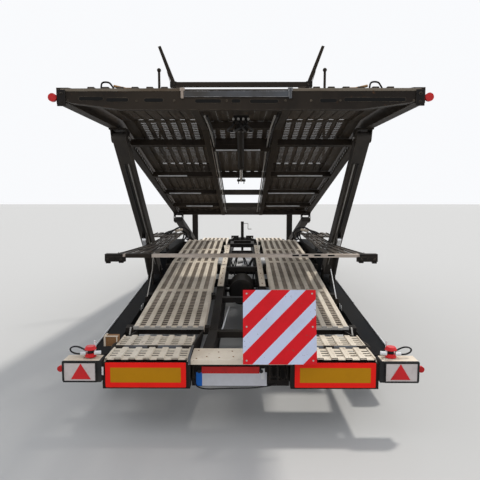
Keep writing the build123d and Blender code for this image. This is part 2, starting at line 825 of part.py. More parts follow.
# Posts on the rails: for the wheel lift frame, and for the front platform to rest on
wing_post_inner = arm_inner + 20
wing_post_outer = half_width - 40
with BuildPart() as rail_posts:
    for x in (wing_post_inner, wing_post_outer):
        side_prism(x, x + lug_thick, [
            (wing_pivot[0] - 70, hump_rail_z), (wing_pivot[0] + 130, hump_rail_z),
            (wing_pivot[0] + 35, wing_pivot[1]), (wing_pivot[0] - 35, wing_pivot[1]),
        ])
        cross_pin(wing_pivot, 35, x, x + lug_thick)
    cross_pin(wing_pivot, pin_radius, wing_post_inner, wing_post_outer)
    side_prism(arm_inner, arm_outer, [
        (post_station, rail_height(post_station)),
        (post_station + post_length, rail_height(post_station + post_length)),
        (post_station + post_length, platform_z - flat_gap), (post_station, platform_z - flat_gap),
    ])
    mirror(about=Plane.YZ)
save(rail_posts, "rail_posts")

# Wheel lift frame: a bar behind and a perforated wing along each side
wing_top = wing_z + wing_sheet
with BuildPart() as lift_bar:
    block((-half_width, half_width), (wing_rear, wing_rear + wing_bar), (wing_z, wing_top + 8))
save(lift_bar, "lift_bar")

with BuildPart() as lift_wings:
    with BuildSketch(Plane.XY.offset(wing_z)):
        with BuildLine():
            Polyline([
                (wing_inner, y_at(wing_rear + wing_bar)), (half_width, y_at(wing_rear + wing_bar)),
                (half_width, y_at(wing_notch_start)), (wing_notch_x, y_at(wing_notch_start)),
                (wing_notch_x, y_at(wing_notch_end)), (half_width, y_at(wing_notch_end)),
                (half_width, y_at(wing_front)), (wing_front_inner, y_at(wing_front)),
            ], close=True)
        make_face()
    extrude(amount=wing_sheet)
    pivot_in = wing_post_inner + lug_thick + flat_gap
    pivot_out = wing_post_outer - flat_gap
    cross_pin(wing_pivot, 34, pivot_in, pivot_out)
    side_prism(pivot_in, pivot_out, [
        (wing_front - 150, wing_z), (wing_pivot[0], wing_pivot[1] - 30),
        (wing_pivot[0], wing_pivot[1] + 30), (wing_front - 150, wing_top),
    ])
    cross_pin(wing_pivot, pin_radius + pin_play, pivot_in, pivot_out, Mode.SUBTRACT)
    mirror(about=Plane.YZ)
save(lift_wings, "lift_wings")

# Upper deck side beams, kinked over the rear arms
deck_end = deck_kink + deck_run
hinge_centre = (deck_end + platform_gap / 2, platform_z + hinge_lift)


def knuckle(x_from, x_to, beam_end):
    """Hinge knuckle between a beam's end and the hinge line."""
    side_prism(x_from, x_to, [
        (beam_end, hinge_centre[1] - 30), (hinge_centre[0], hinge_centre[1] - knuckle_radius),
        (hinge_centre[0], hinge_centre[1] + knuckle_radius), (beam_end, hinge_centre[1] + 30),
    ])
    cross_pin(hinge_centre, knuckle_radius, x_from, x_to)


beam_crest = (deck_kink + 40, deck_kink_z + kink_beam_depth)
beam_nose = main_point(main_p_at(deck_end, main_beam_depth), main_beam_depth)


def beam_top_at(station):
    """Point on the sloping top of the upper side beam at a station."""
    share = (station - beam_crest[0]) / (beam_nose[0] - beam_crest[0])
    return station, beam_crest[1] + share * (beam_nose[1] - beam_crest[1])


knuckle_inner = half_width - side_beam_width + 2
knuckle_outer = half_width - 2
with BuildPart() as upper_side_beams:
    side_prism(half_width - side_beam_width, half_width, [
        (deck_rear, deck_kink_z - 10), (deck_kink, deck_kink_z), main_point(main_p_at(deck_end), 0),
        beam_nose, beam_crest, (deck_kink - 60, deck_kink_z + kink_beam_depth),
        (deck_rear, deck_kink_z + 95),
    ])
    knuckle(knuckle_inner, knuckle_inner + knuckle_width, deck_end)
    knuckle(knuckle_outer - knuckle_width, knuckle_outer, deck_end)
    cross_pin(hinge_centre, knuckle_pin, knuckle_inner, knuckle_outer)
    mirror(about=Plane.YZ)
save(upper_side_beams, "upper_side_beams")

# Rear beam of the upper deck
with BuildPart() as upper_rear_beam:
    with BuildSketch(Plane(origin=(0, y_at(deck_rear), 0), x_dir=(1, 0, 0), z_dir=(0, -1, 0))):
        with BuildLine():
            low = deck_kink_z - rear_beam_drop
            top = low + rear_beam_depth
            right_edge = [
                (rear_beam_half - 420, low), (rear_beam_half - 93, low + 43),
                (rear_beam_half, top - 60), (rear_beam_half, top),
            ]
            left_edge = [(-x, z) for x, z in right_edge]
            Polyline(right_edge + left_edge[::-1], close=True)
        make_face()
    extrude(amount=rear_beam_length)
save(upper_rear_beam, "upper_rear_beam")

beam_face = deck_rear - rear_beam_length
with BuildPart() as rear_beam_strip:
    block((-372, 322), (beam_face - 8, beam_face), (top - 52, top - 12))
save(rear_beam_strip, "rear_beam_strip")

with BuildPart() as upper_lamps:
    side_marker(rear_beam_half, upper_lamp_x, (beam_face + 20, top - 50), upper_lamp_radius)
    mirror(about=Plane.YZ)
save(upper_lamps, "upper_lamps")

# Inner longitudinal beams of the upper deck
with BuildPart() as upper_inner_beams:
    side_prism(inner_beam_x, inner_beam_x + inner_beam_width, [
        (deck_rear, deck_kink_z), (deck_kink, deck_kink_z), main_point(main_p_at(deck_end), 0),
        main_point(main_p_at(deck_end, 110), 110), kink_point(110), (deck_rear, deck_kink_z + 80),
    ])
    mirror(about=Plane.YZ)
save(upper_inner_beams, "upper_inner_beams")

# Upper cross members, square to the deck, and one between the inner beams at the kink
member_p = [480, 1720, 2700, 3630, main_p_at(deck_end - 60)]
kink_member = [
    (deck_kink - 100, deck_kink_z), (deck_kink - 30, deck_kink_z),
    (deck_kink - 30, deck_kink_z + upper_sheet_lift), (deck_kink - 100, deck_kink_z + upper_sheet_lift),
]
with BuildPart() as upper_cross_members:
    profiles = [
        [main_point(p - upper_cross / 2, 0), main_point(p + upper_cross / 2, 0),
         main_point(p + upper_cross / 2, upper_sheet_lift), main_point(p - upper_cross / 2, upper_sheet_lift)]
        for p in member_p
    ]
    for profile in profiles:
        side_prism(inner_beam_x + inner_beam_width, half_width - side_beam_width, profile)
    mirror(about=Plane.YZ)
    for profile in profiles + [kink_member]:
        side_prism(-inner_beam_x, inner_beam_x, profile)
save(upper_cross_members, "upper_cross_members")

# Upper deck tracks and centre panels
main_track_end = main_point(main_p_at(deck_end, upper_sheet_lift), upper_sheet_lift)
main_track_edge = [kink_point(upper_sheet_lift), main_track_end]
rear_track_edge = [(deck_rear, deck_kink_z + upper_sheet_lift), kink_point(upper_sheet_lift)]
with BuildPart() as upper_main_tracks:
    open_track(main_track_edge)
    mirror(about=Plane.YZ)
save(upper_main_tracks, "upper_main_tracks")

with BuildPart() as upper_rear_tracks:
    open_track(rear_track_edge)
    mirror(about=Plane.YZ)
save(upper_rear_tracks, "upper_rear_tracks")

panel_end_p = member_p[1] + upper_cross / 2
panel_thick = 12.0
with BuildPart() as upper_centre_panels:
    side_prism(-inner_beam_x, inner_beam_x, [
        (deck_rear, deck_kink_z + upper_sheet_lift), kink_point(upper_sheet_lift),
        main_point(panel_end_p, upper_sheet_lift), main_point(panel_end_p, upper_sheet_lift + panel_thick),
        kink_point(upper_sheet_lift + panel_thick), (deck_rear, deck_kink_z + upper_sheet_lift + panel_thick),
    ])
    centres = [side * (panel_column + i * rib_pitch) for side in (-1, 1) for i in range(panel_columns)]
    slot_half = (rib_pitch - rib_width) / 2
    columns = [(x - slot_half, x + slot_half) for x in centres]
    cut_openings(*rear_track_edge, columns, panel_thick)
    panel_end = main_point(panel_end_p, upper_sheet_lift)
    cut_openings(kink_point(upper_sheet_lift), panel_end, columns, panel_thick)
save(upper_centre_panels, "upper_centre_panels")

# Head brackets of the rear arms and guides of the front arms, under the side beams
with BuildPart() as head_brackets:
    pad = 12
    pad_top = deck_kink_z - 2
    pad_x = (arm_inner - lug_thick - flat_gap, half_width)
    block(pad_x, (rear_head[0] - 95, deck_kink - 2), (pad_top - pad, pad_top))
    lug_pair(rear_head, arm_inner, arm_outer, lambda s: pad_top - pad, 50)
    cross_pin(rear_head, pin_radius, arm_inner - lug_thick - flat_gap, arm_outer + lug_thick)
    mirror(about=Plane.YZ)
save(head_brackets, "head_brackets")

guide_p = main_p_at(roller_station, -roller_drop)
guide_low = -roller_drop - roller_radius - flat_gap
with BuildPart() as roller_guides:
    for x in (arm_inner - lug_thick - flat_gap, arm_outer + flat_gap):
        side_prism(x, x + lug_thick, [
            main_point(guide_p - guide_rearward - guide_edge, guide_low - guide_edge),
            main_point(guide_p + guide_forward + guide_edge, guide_low - guide_edge),
            main_point(guide_p + guide_forward + guide_edge, 0),
            main_point(guide_p - guide_rearward - guide_edge, 0),
        ])
        side_prism(x, x + lug_thick, [
            main_point(guide_p - guide_rearward, guide_low), main_point(guide_p + guide_forward, guide_low),
            main_point(guide_p + guide_forward, guide_low + guide_height),
            main_point(guide_p - guide_rearward, guide_low + guide_height),
        ], Mode.SUBTRACT)
    side_prism(arm_inner - lug_thick - flat_gap, half_width, [
        main_point(guide_p - guide_rearward - guide_edge, -lug_thick),
        main_point(guide_p + guide_forward + guide_edge, -lug_thick),
        main_point(guide_p + guide_forward + guide_edge, 0),
        main_point(guide_p - guide_rearward - guide_edge, 0),
    ])
    mirror(about=Plane.YZ)
save(roller_guides, "roller_guides")

# Guards on the upper deck: two stanchions on the side beams and a frame over the rear part
stanchion_station = 3980.0
stanchion_radius = 18.0
stanchion_ball = 30.0
stanchion_top = 3545.0
stanchion_x = half_width - side_beam_width / 2
socket_half = 32.0
guard_station = 1400.0
guard_bar = 42.0
guard_bar_z = 2738.0
guard_rib = 1
guard_foot_x = upper_track_inner + guard_rib * rib_pitch + rib_width
guard_reach = guard_foot_x + 100
guard_tip_x = guard_foot_x + 239
guard_tip_z = 3081.0
track_top = deck_kink_z + upper_sheet_lift + sheet + rib_height
with BuildPart() as upper_guards:
    beam_top_back = beam_top_at(stanchion_station - socket_half)
    beam_top_front = beam_top_at(stanchion_station + socket_half)
    socket_top = beam_top_back[1] + 40
    side_prism(stanchion_x - socket_half, stanchion_x + socket_half, [
        beam_top_back, beam_top_front, (beam_top_front[0], socket_top), (beam_top_back[0], socket_top),
    ])
    with BuildSketch(Plane.XY.offset(socket_top)):
        with Locations((stanchion_x, y_at(stanchion_station))):
            Circle(stanchion_radius)
    extrude(amount=stanchion_top - stanchion_ball - socket_top)
    with Locations((stanchion_x, y_at(stanchion_station), stanchion_top - stanchion_ball)):
        Sphere(stanchion_ball)
    with BuildSketch(Plane(origin=(0, y_at(guard_station), 0), x_dir=(-1, 0, 0), z_dir=(0, 1, 0))):
        with BuildLine():
            Polyline([
                (guard_foot_x - rib_width, track_top), (guard_foot_x, track_top),
                (guard_tip_x, guard_tip_z), (guard_tip_x - 25, guard_tip_z + 8),
            ], close=True)
        make_face()
        with Locations((guard_reach / 2, guard_bar_z)):
            Rectangle(guard_reach, guard_bar)
    extrude(amount=guard_bar)
    mirror(about=Plane.YZ)
save(upper_guards, "upper_guards")

# Front platform, level, hinged to the front end of the main platform
platform_start = deck_end + platform_gap
platform_top = platform_z + platform_depth
with BuildPart() as platform_side_beams:
    side_prism(half_width - side_beam_width, half_width, [
        (platform_start, platform_z), (platform_end, platform_z), (platform_end, platform_top - 40),
        (platform_end - 600, platform_top), (platform_start, platform_top),
    ])
    middle_from = knuckle_inner + knuckle_width + flat_gap
    middle_to = knuckle_outer - knuckle_width - flat_gap
    knuckle(middle_from, middle_to, platform_start)
    cross_pin(hinge_centre, knuckle_pin + pin_play, middle_from, middle_to, Mode.SUBTRACT)
    mirror(about=Plane.YZ)
save(platform_side_beams, "platform_side_beams")

with BuildPart() as platform_cross_members:
    member_pitch = (platform_end - upper_cross - platform_start) / (platform_members - 1)
    for i in range(platform_members):
        station = platform_start + i * member_pitch
        block(
            (-half_width + side_beam_width, half_width - side_beam_width),
            (station, station + upper_cross), (platform_z, platform_z + upper_sheet_lift),
        )
save(platform_cross_members, "platform_cross_members")

with BuildPart() as platform_tracks:
    platform_sheet_z = platform_z + upper_sheet_lift
    open_track([(platform_start, platform_sheet_z), (platform_end, platform_sheet_z)])
    mirror(about=Plane.YZ)
save(platform_tracks, "platform_tracks")
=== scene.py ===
"""Two-deck car transporter drawbar trailer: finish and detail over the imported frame, in metres."""
import math

import bmesh
import bpy
from mathutils import Matrix, Vector


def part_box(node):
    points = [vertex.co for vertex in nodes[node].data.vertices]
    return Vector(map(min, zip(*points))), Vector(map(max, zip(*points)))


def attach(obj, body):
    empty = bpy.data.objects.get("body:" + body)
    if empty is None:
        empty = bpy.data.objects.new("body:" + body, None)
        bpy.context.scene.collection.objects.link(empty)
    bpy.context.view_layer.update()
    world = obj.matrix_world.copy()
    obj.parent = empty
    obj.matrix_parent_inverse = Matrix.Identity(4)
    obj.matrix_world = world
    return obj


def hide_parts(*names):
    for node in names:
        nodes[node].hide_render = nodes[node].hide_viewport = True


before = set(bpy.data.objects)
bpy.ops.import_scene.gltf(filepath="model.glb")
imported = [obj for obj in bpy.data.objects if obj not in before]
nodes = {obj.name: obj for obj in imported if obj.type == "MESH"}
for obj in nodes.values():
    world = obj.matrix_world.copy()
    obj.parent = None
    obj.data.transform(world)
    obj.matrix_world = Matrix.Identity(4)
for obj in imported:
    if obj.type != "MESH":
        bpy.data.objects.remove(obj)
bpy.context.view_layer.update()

# The photograph's camera: its picture in pixels, its place as x, station and height
image_side = 480
focal_px = 481.0
horizon_px = 195.0
vanishing_px = 243.0
camera_place = Vector((0.018, -3.241, 1.70))
sensor_mm = 36.0

# Places along the trailer are stations: y counted so that the marker plates' rear faces lie at 0.019
station_origin = Vector((0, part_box("marker_plates")[0].y - 0.019, 0))
sides = ((1, "right"), (-1, "left"))
outwards, inwards = Vector((1, 0, 0)), Vector((-1, 0, 0))
rearwards, forwards, upwards = Vector((0, -1, 0)), Vector((0, 1, 0)), Vector((0, 0, 1))
half_width = 1.25

# Track planks: raised ribs with rows of slats between them
rib_top = 0.034
slat_level = rib_top - 0.010
edge_foot = rib_top - 0.028
rib_count = 7
rib_width = 0.050
rib_pitch = 0.100
rib_fold = 0.004
slot_pitch = 0.049
skin = 0.004


def box(node):
    """Low and high corner of a node's box, with stations for y."""
    return [corner - station_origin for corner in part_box(node)]


def arcs(centres, radius, sweep, steps):
    """Outline of (u, v) points along arcs, each given by its centre and starting angle in degrees."""
    points = []
    for u, v, start in centres:
        for i in range(steps + 1):
            angle = math.radians(start + sweep * i / steps)
            points.append((u + radius * math.cos(angle), v + radius * math.sin(angle)))
    return points


def oblong(u0, u1, v, half, steps=8):
    """Outline of an oblong with round ends."""
    return arcs(((u1 - half, v, -90), (u0 + half, v, 90)), half, 180, steps)


class Path:
    """A bent side-view path of (station, height) points, walked by distance."""

    def __init__(self, points):
        self.points = points
        self.bends = [0.0]
        for (s_a, z_a), (s_b, z_b) in zip(points, points[1:]):
            self.bends.append(self.bends[-1] + math.hypot(s_b - s_a, z_b - z_a))
        self.length = self.bends[-1]

    def at(self, distance, lift, x):
        """Point at a distance along the path and a lift above it."""
        leg = 0
        while leg < len(self.points) - 2 and distance > self.bends[leg + 1]:
            leg += 1
        (s_a, z_a), (s_b, z_b) = self.points[leg], self.points[leg + 1]
        t = (distance - self.bends[leg]) / (self.bends[leg + 1] - self.bends[leg])
        return Vector((x, s_a + (s_b - s_a) * t, z_a + (z_b - z_a) * t + lift))

    def part(self, *shares):
        """The points of a straight path at shares of its length."""
        (s_a, z_a), (s_b, z_b) = self.points
        return [(s_a + (s_b - s_a) * t, z_a + (z_b - z_a) * t) for t in shares]


def new_object(name, mesh, material, body="chassis", node=None):
    """Add a mesh object that rides on a body and may stand in for a node."""
    obj = bpy.data.objects.new(name, mesh)
    bpy.context.collection.objects.link(obj)
    mesh.materials.append(material)
    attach(obj, body)
    if node is not None:
        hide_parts(node)
    return obj


class Piece:
    """A mesh under construction, in stations; side -1 mirrors it, so that x counts outwards."""

    def __init__(self, side=1):
        self.bm = bmesh.new()
        self.side = side
        self.smooth_angle = None

    def at(self, point):
        """A point on the piece's side."""
        return Vector((self.side * point[0], point[1], point[2]))

    def vertices(self, points):
        """New vertices at points."""
        return [self.bm.verts.new(self.at(point)) for point in points]

    def face(self, points):
        """Open face through points."""
        return self.bm.faces.new(self.vertices(points))

    def web(self, grid):
        """Faces between neighbouring rows of vertices."""
        for lower, upper in zip(grid, grid[1:]):
            for i in range(len(lower) - 1):
                self.bm.faces.new((lower[i], lower[i + 1], upper[i + 1], upper[i]))
        return self

    def box(self, low, high):
        """Box between two corners."""
        low, high = self.at(low), self.at(high)
        size = high - low
        scale = Matrix.Diagonal((abs(size.x), size.y, size.z, 1.0))
        bmesh.ops.create_cube(self.bm, size=1.0, matrix=Matrix.Translation((low + high) / 2) @ scale)
        return self

    def rod(self, start, end, radius, count=16, end_radius=None):
        """Round bar between two points, with a number of faces around."""
        start, end = self.at(start), self.at(end)
        turn = upwards.rotation_difference(end - start).to_matrix().to_4x4()
        bmesh.ops.create_cone(
            self.bm, cap_ends=True, segments=count, radius1=radius,
            radius2=radius if end_radius is None else end_radius, depth=(end - start).length,
            matrix=Matrix.Translation((start + end) / 2) @ turn,
        )
        self.smooth_angle = 35
        return self

    def stud(self, centre, direction, radius, length, count=12):
        """Short round stud that stands out from a centre."""
        return self.rod(centre, Vector(centre) + direction * length, radius, count)

    def bolt(self, centre, direction, size):
        """Washer, hexagon head and stub of a bolt."""
        centre, along = Vector(centre), direction * size
        for start, stop, radius, count in ((0.0, 0.2, 1.15, 16), (0.2, 0.85, 0.85, 6), (0.85, 1.3, 0.45, 10)):
            self.rod(centre + along * start, centre + along * stop, radius * size, count)
        return self

    def prism(self, outline, thickness):
        """Closed prism of an outline of points and a thickness vector."""
        low = self.vertices(outline)
        top = self.vertices([Vector(point) + thickness for point in outline])
        self.bm.faces.new(low[::-1])
        self.bm.faces.new(top)
        return self.web([low + low[:1], top + top[:1]])

    def slab(self, x, profile, width):
        """Prism across the trailer, from x, of a side-view profile of (station, height) points."""
        return self.prism([(x, s, z) for s, z in profile], outwards * width)

    def upright(self, outline, s, thick):
        """Upright prism across the trailer, of a rear-view outline of (x, height) points."""
        return self.prism([(x, s, z) for x, z in outline], forwards * thick)

    def plate(self, x0, x1, z0, z1, radius, s, thick):
        """Thin upright plate with rounded corners, its rear face at s."""
        left, right, low, high = x0 + radius, x1 - radius, z0 + radius, z1 - radius
        corners = ((right, high, 0), (left, high, 90), (left, low, 180), (right, low, 270))
        return self.upright(arcs(corners, radius, 90, 5), s, thick)

    def strip(self, path, xs, lifts, start=0.0, stop=None):
        """Open folded strip along a path between two distances."""
        stop = path.length if stop is None else stop
        rows = [start] + [bend for bend in path.bends if start + 1e-4 < bend < stop - 1e-4] + [stop]
        return self.web([self.vertices([path.at(d, lift, x) for x, lift in zip(xs, lifts)]) for d in rows])

    def louvres(self, path, columns, lips, open_share, end_band, level=slat_level):
        """Rows of slats in columns, each with its rear and front edge lifted by lips."""
        count = max(1, int((path.length - 2 * end_band) / slot_pitch))
        begin = (path.length - count * slot_pitch) / 2
        rear, front = level + lips[0], level + lips[1]
        for a, b in columns:
            self.strip(path, [a, b], [level, level], 0.0, begin)
            self.strip(path, [a, b], [level, level], begin + count * slot_pitch)
            for i in range(count):
                start = begin + i * slot_pitch
                stop = start + slot_pitch * (1 - open_share)
                corners = ((start, rear, a), (start, rear, b), (stop, front, b), (stop, front, a))
                self.face([path.at(*corner) for corner in corners]).material_index = 1

    def plank(self, x0, x1, points, plain_to=None, lips=(0.004, 0.0), open_share=0.40, end_band=0.03):
        """Plank from x0 to x1: ribs with louvres between them, folded edges, a plain band on to plain_to."""
        path = Path(points)
        middle = (x0 + x1) / 2
        centres = [middle + (i - (rib_count - 1) / 2) * rib_pitch for i in range(rib_count)]
        ribs = [(max(x0, x - rib_width / 2), min(x1, x + rib_width / 2)) for x in centres]
        low, top, crease = slat_level, rib_top, rib_top - 0.0015
        for a, b in ribs:
            x = (a + b) / 2
            xs = [a, a + rib_fold, x - 0.004, x, x + 0.004, b - rib_fold, b]
            self.strip(path, xs, [low, top, top, crease, top, top, low])
        for x in (x0, x1):
            self.strip(path, [x, x], [low, edge_foot])
        columns = [(left[1], right[0]) for left, right in zip(ribs, ribs[1:])]
        self.louvres(path, columns, lips, open_share, end_band)
        if plain_to is not None:
            self.strip(path, [x1, plain_to], [low, low])
        for distance in (0.0, path.length):
            for a, b in ribs:
                corners = ((low, a), (low, b), (top, b - rib_fold), (top, a + rib_fold))
                self.face([path.at(distance, *corner) for corner in corners[::self.side]])
        return self

    def face_out(self):
        """Turn open faces up, and upright ones away from the middle, so that a sheet thickens inwards."""
        self.bm.normal_update()
        middle = sum(v.co.x for v in self.bm.verts) / len(self.bm.verts)
        for face in self.bm.faces:
            if abs(face.normal.z) > 1e-4:
                turned_in = face.normal.z < 0
            else:
                turned_in = face.normal.x * (face.calc_center_median().x - middle) < 0
            if turned_in:
                face.normal_flip()

    def mesh(self, name):
        """The mesh in the frame's coordinates, smooth where the piece has round parts."""
        bmesh.ops.translate(self.bm, verts=self.bm.verts, vec=station_origin)
        mesh = bpy.data.meshes.new(name)
        self.bm.to_mesh(mesh)
        self.bm.free()
        if self.smooth_angle is not None:
            mesh.polygons.foreach_set("use_smooth", [True] * len(mesh.polygons))
            mesh.set_sharp_from_angle(angle=math.radians(self.smooth_angle))
        return mesh

    def done(self, name, material, body="chassis", slot="frame_paint", edge=None, node=None):
        """Finish closed shapes, with edges rounded by a width where one is given."""
        bmesh.ops.recalc_face_normals(self.bm, faces=self.bm.faces)
        obj = new_object(name, self.mesh(name), material, body, node)
        if edge is not None:
            rounding = obj.modifiers.new("Bevel", "BEVEL")
            rounding.width = edge
            rounding.segments = 2
            rounding.limit_method = "ANGLE"
            rounding.angle_limit = math.radians(40)
            rounding.harden_normals = False

    def sheet(self, name, material, body="chassis", slot="track_sheet", node=None, thick=skin, slats=None):
        """Finish open faces as a thin sheet under them; slats may have a material of their own."""
        self.face_out()
        obj = new_object(name, self.mesh(name), material, body, node)
        obj.data.materials.append(slats or material)
        solid = obj.modifiers.new("Thickness", "SOLIDIFY")
        solid.thickness = thick
        solid.offset = -1.0


def tube(name, points, radius, material, body="chassis", side=1, smooth=True):
    """A pipe along points in stations, on a smooth curve or straight from point to point."""
    curve = bpy.data.curves.new(name, "CURVE")
    curve.dimensions = "3D"
    spline = curve.splines.new("NURBS" if smooth else "POLY")
    spline.points.add(len(points) - 1)
    for knot, (x, s, z) in zip(spline.points, points):
        knot.co = (side * x, s, z, 1.0)
    if smooth:
        spline.order_u = 3
        spline.use_endpoint_u = True
    curve.bevel_depth = radius
    curve.bevel_resolution = 1
    curve.use_fill_caps = True
    holder = bpy.data.objects.new(name + "_curve", curve)
    bpy.context.collection.objects.link(holder)
    bpy.context.view_layer.update()
    mesh = bpy.data.meshes.new_from_object(holder.evaluated_get(bpy.context.evaluated_depsgraph_get()))
    bpy.data.objects.remove(holder)
    bpy.data.curves.remove(curve)
    mesh.name = name
    mesh.transform(Matrix.Translation(station_origin))
    mesh.materials.clear()
    mesh.polygons.foreach_set("use_smooth", [True] * len(mesh.polygons))
    new_object(name, mesh, material, body)


# Materials


class Shader:
    """A node material with a few short ways to build its tree."""

    def __init__(self, name):
        self.material = bpy.data.materials.new(name)
        self.material.use_nodes = True
        self.tree = self.material.node_tree
        self.nodes = self.tree.nodes
        self.links = self.tree.links
        self.shader = self.nodes["Principled BSDF"]

    def set(self, name, value):
        """Set one of the shader's inputs to a uniform value."""
        self.shader.inputs[name].default_value = value

    def noise(self, scale, detail=4.0, rough=0.6, stretch=(1, 1, 1)):
        """Noise in object space, with an optional stretch."""
        mapping = self.nodes.new("ShaderNodeMapping")
        mapping.inputs["Scale"].default_value = stretch
        coordinates = self.nodes.new("ShaderNodeTexCoord")
        self.links.new(coordinates.outputs["Object"], mapping.inputs["Vector"])
        noise = self.nodes.new("ShaderNodeTexNoise")
        noise.inputs["Scale"].default_value = scale
        noise.inputs["Detail"].default_value = detail
        noise.inputs["Roughness"].default_value = rough
        self.links.new(mapping.outputs["Vector"], noise.inputs["Vector"])
        return noise.outputs["Fac"]

    def ramp(self, value, low, high, ends="From"):
        """Map a value from low..high to 0..1, or with ends="To" from 0..1 to low..high."""
        node = self.nodes.new("ShaderNodeMapRange")
        node.inputs[f"{ends} Min"].default_value = low
        node.inputs[f"{ends} Max"].default_value = high
        self.links.new(value, node.inputs["Value"])
        return node.outputs["Result"]

    def math(self, operation, a, b):
        """A math node on two values, each a socket or a number."""
        node = self.nodes.new("ShaderNodeMath")
        node.operation = operation
        for socket, value in zip(node.inputs, (a, b)):
            if isinstance(value, (int, float)):
                socket.default_value = value
            else:
                self.links.new(value, socket)
        return node.outputs["Value"]

    def mix(self, factor, a, b):
        """Mix two colours, each a socket or an RGB triple."""
        node = self.nodes.new("ShaderNodeMix")
        node.data_type = "RGBA"
        self.links.new(factor, node.inputs["Factor"])
        for socket, value in ((node.inputs[6], a), (node.inputs[7], b)):
            if isinstance(value, tuple):
                socket.default_value = (*value, 1.0)
            else:
                self.links.new(value, socket)
        return node.outputs[2]

    def edges(self, radius):
        """Mask that is 1 along convex and concave edges within a radius."""
        rounded = self.nodes.new("ShaderNodeBevel")
        rounded.samples = 4
        rounded.inputs["Radius"].default_value = radius
        geometry = self.nodes.new("ShaderNodeNewGeometry")
        dot = self.nodes.new("ShaderNodeVectorMath")
        dot.operation = "DOT_PRODUCT"
        self.links.new(rounded.outputs["Normal"], dot.inputs[0])
        self.links.new(geometry.outputs["Normal"], dot.inputs[1])
        return self.ramp(self.math("SUBTRACT", 1.0, dot.outputs["Value"]), 0.02, 0.25)

    def finish(self, colour, cloudiness, rough, height, strength, distance, specular):
        """Feed base colour, roughness between two values, bump and specular level."""
        bump = self.nodes.new("ShaderNodeBump")
        bump.inputs["Strength"].default_value = strength
        bump.inputs["Distance"].default_value = distance
        self.links.new(height, bump.inputs["Height"])
        inputs = self.shader.inputs
        self.links.new(bump.outputs["Normal"], inputs["Normal"])
        self.links.new(colour, inputs["Base Color"])
        self.links.new(self.ramp(cloudiness, *rough, ends="To"), inputs["Roughness"])
        self.set("Specular IOR Level", specular)
        return self.material


def painted(name, base, dirt, worn, rust_amount=0.35, wear=0.004, specular=0.10):
    """Weathered paint: dirt in clouds, rust spots, bare metal along the edges."""
    rust = (0.17, 0.075, 0.03)
    s = Shader(name)
    clouds = s.noise(1.6, 6.0, 0.65)
    fine = s.noise(38.0, 5.0, 0.7)
    streaks = s.noise(7.0, 4.0, 0.6, stretch=(1.0, 0.35, 0.35))
    colour = s.mix(s.ramp(clouds, 0.38, 0.70), base, dirt)
    colour = s.mix(s.math("MULTIPLY", s.ramp(streaks, 0.52, 0.78), 0.6), colour, dirt)
    spots = s.math("MULTIPLY", s.ramp(fine, 0.60, 0.72), s.ramp(s.noise(2.3, 3.0), 0.45, 0.70))
    colour = s.mix(s.math("MULTIPLY", spots, rust_amount * 2), colour, rust)
    edge = s.math("MULTIPLY", s.edges(wear), s.ramp(s.noise(11.0, 5.0, 0.7), 0.36, 0.62))
    colour = s.mix(edge, colour, worn)
    cloudiness = s.math("ADD", s.math("MULTIPLY", clouds, 0.6), s.math("MULTIPLY", fine, 0.4))
    return s.finish(colour, cloudiness, (0.38, 0.8), fine, 0.22, 0.0015, specular)


def track_sheet(name, base, dirt, scuff):
    """Galvanised, sun-bleached plank: dirt in patches, scratches along the road, rust spots."""
    rust = (0.20, 0.10, 0.05)
    s = Shader(name)
    clouds = s.noise(2.2, 6.0, 0.7)
    grain = s.noise(60.0, 4.0, 0.7)
    scratches = s.noise(26.0, 4.0, 0.6, stretch=(1.0, 0.08, 1.0))
    colour = s.mix(s.ramp(clouds, 0.40, 0.68), base, dirt)
    colour = s.mix(s.math("MULTIPLY", s.ramp(scratches, 0.50, 0.72), 0.65), colour, scuff)
    colour = s.mix(s.math("MULTIPLY", s.ramp(grain, 0.58, 0.74), 0.7), colour, dirt)
    spots = s.math("MULTIPLY", s.ramp(s.noise(14.0, 5.0, 0.75), 0.60, 0.70), 0.8)
    colour = s.mix(spots, colour, rust)
    return s.finish(colour, clouds, (0.45, 0.75), grain, 0.25, 0.001, 0.25)


def plain(name, base, dirt, amount=0.5, rough=(0.3, 0.6), metallic=0.0, coat=0.0, scale=9.0, chips=0.0):
    """A nearly even surface with dirt at one scale, and chipped spots where asked for."""
    chip = (0.11, 0.085, 0.060)
    s = Shader(name)
    clouds = s.noise(scale, 5.0, 0.65)
    fine = s.noise(scale * 9, 4.0, 0.7)
    colour = s.mix(s.math("MULTIPLY", s.ramp(clouds, 0.45, 0.75), amount), base, dirt)
    colour = s.mix(s.math("MULTIPLY", s.ramp(fine, 0.62, 0.75), amount), colour, dirt)
    if chips:
        spots = s.ramp(s.noise(46.0, 3.0, 0.6), 0.685, 0.72)
        colour = s.mix(s.math("MULTIPLY", spots, chips), colour, chip)
    s.set("Metallic", metallic)
    s.set("Coat Weight", coat)
    return s.finish(colour, clouds, rough, fine, 0.12, 0.0008, 0.5 if metallic else 0.2)


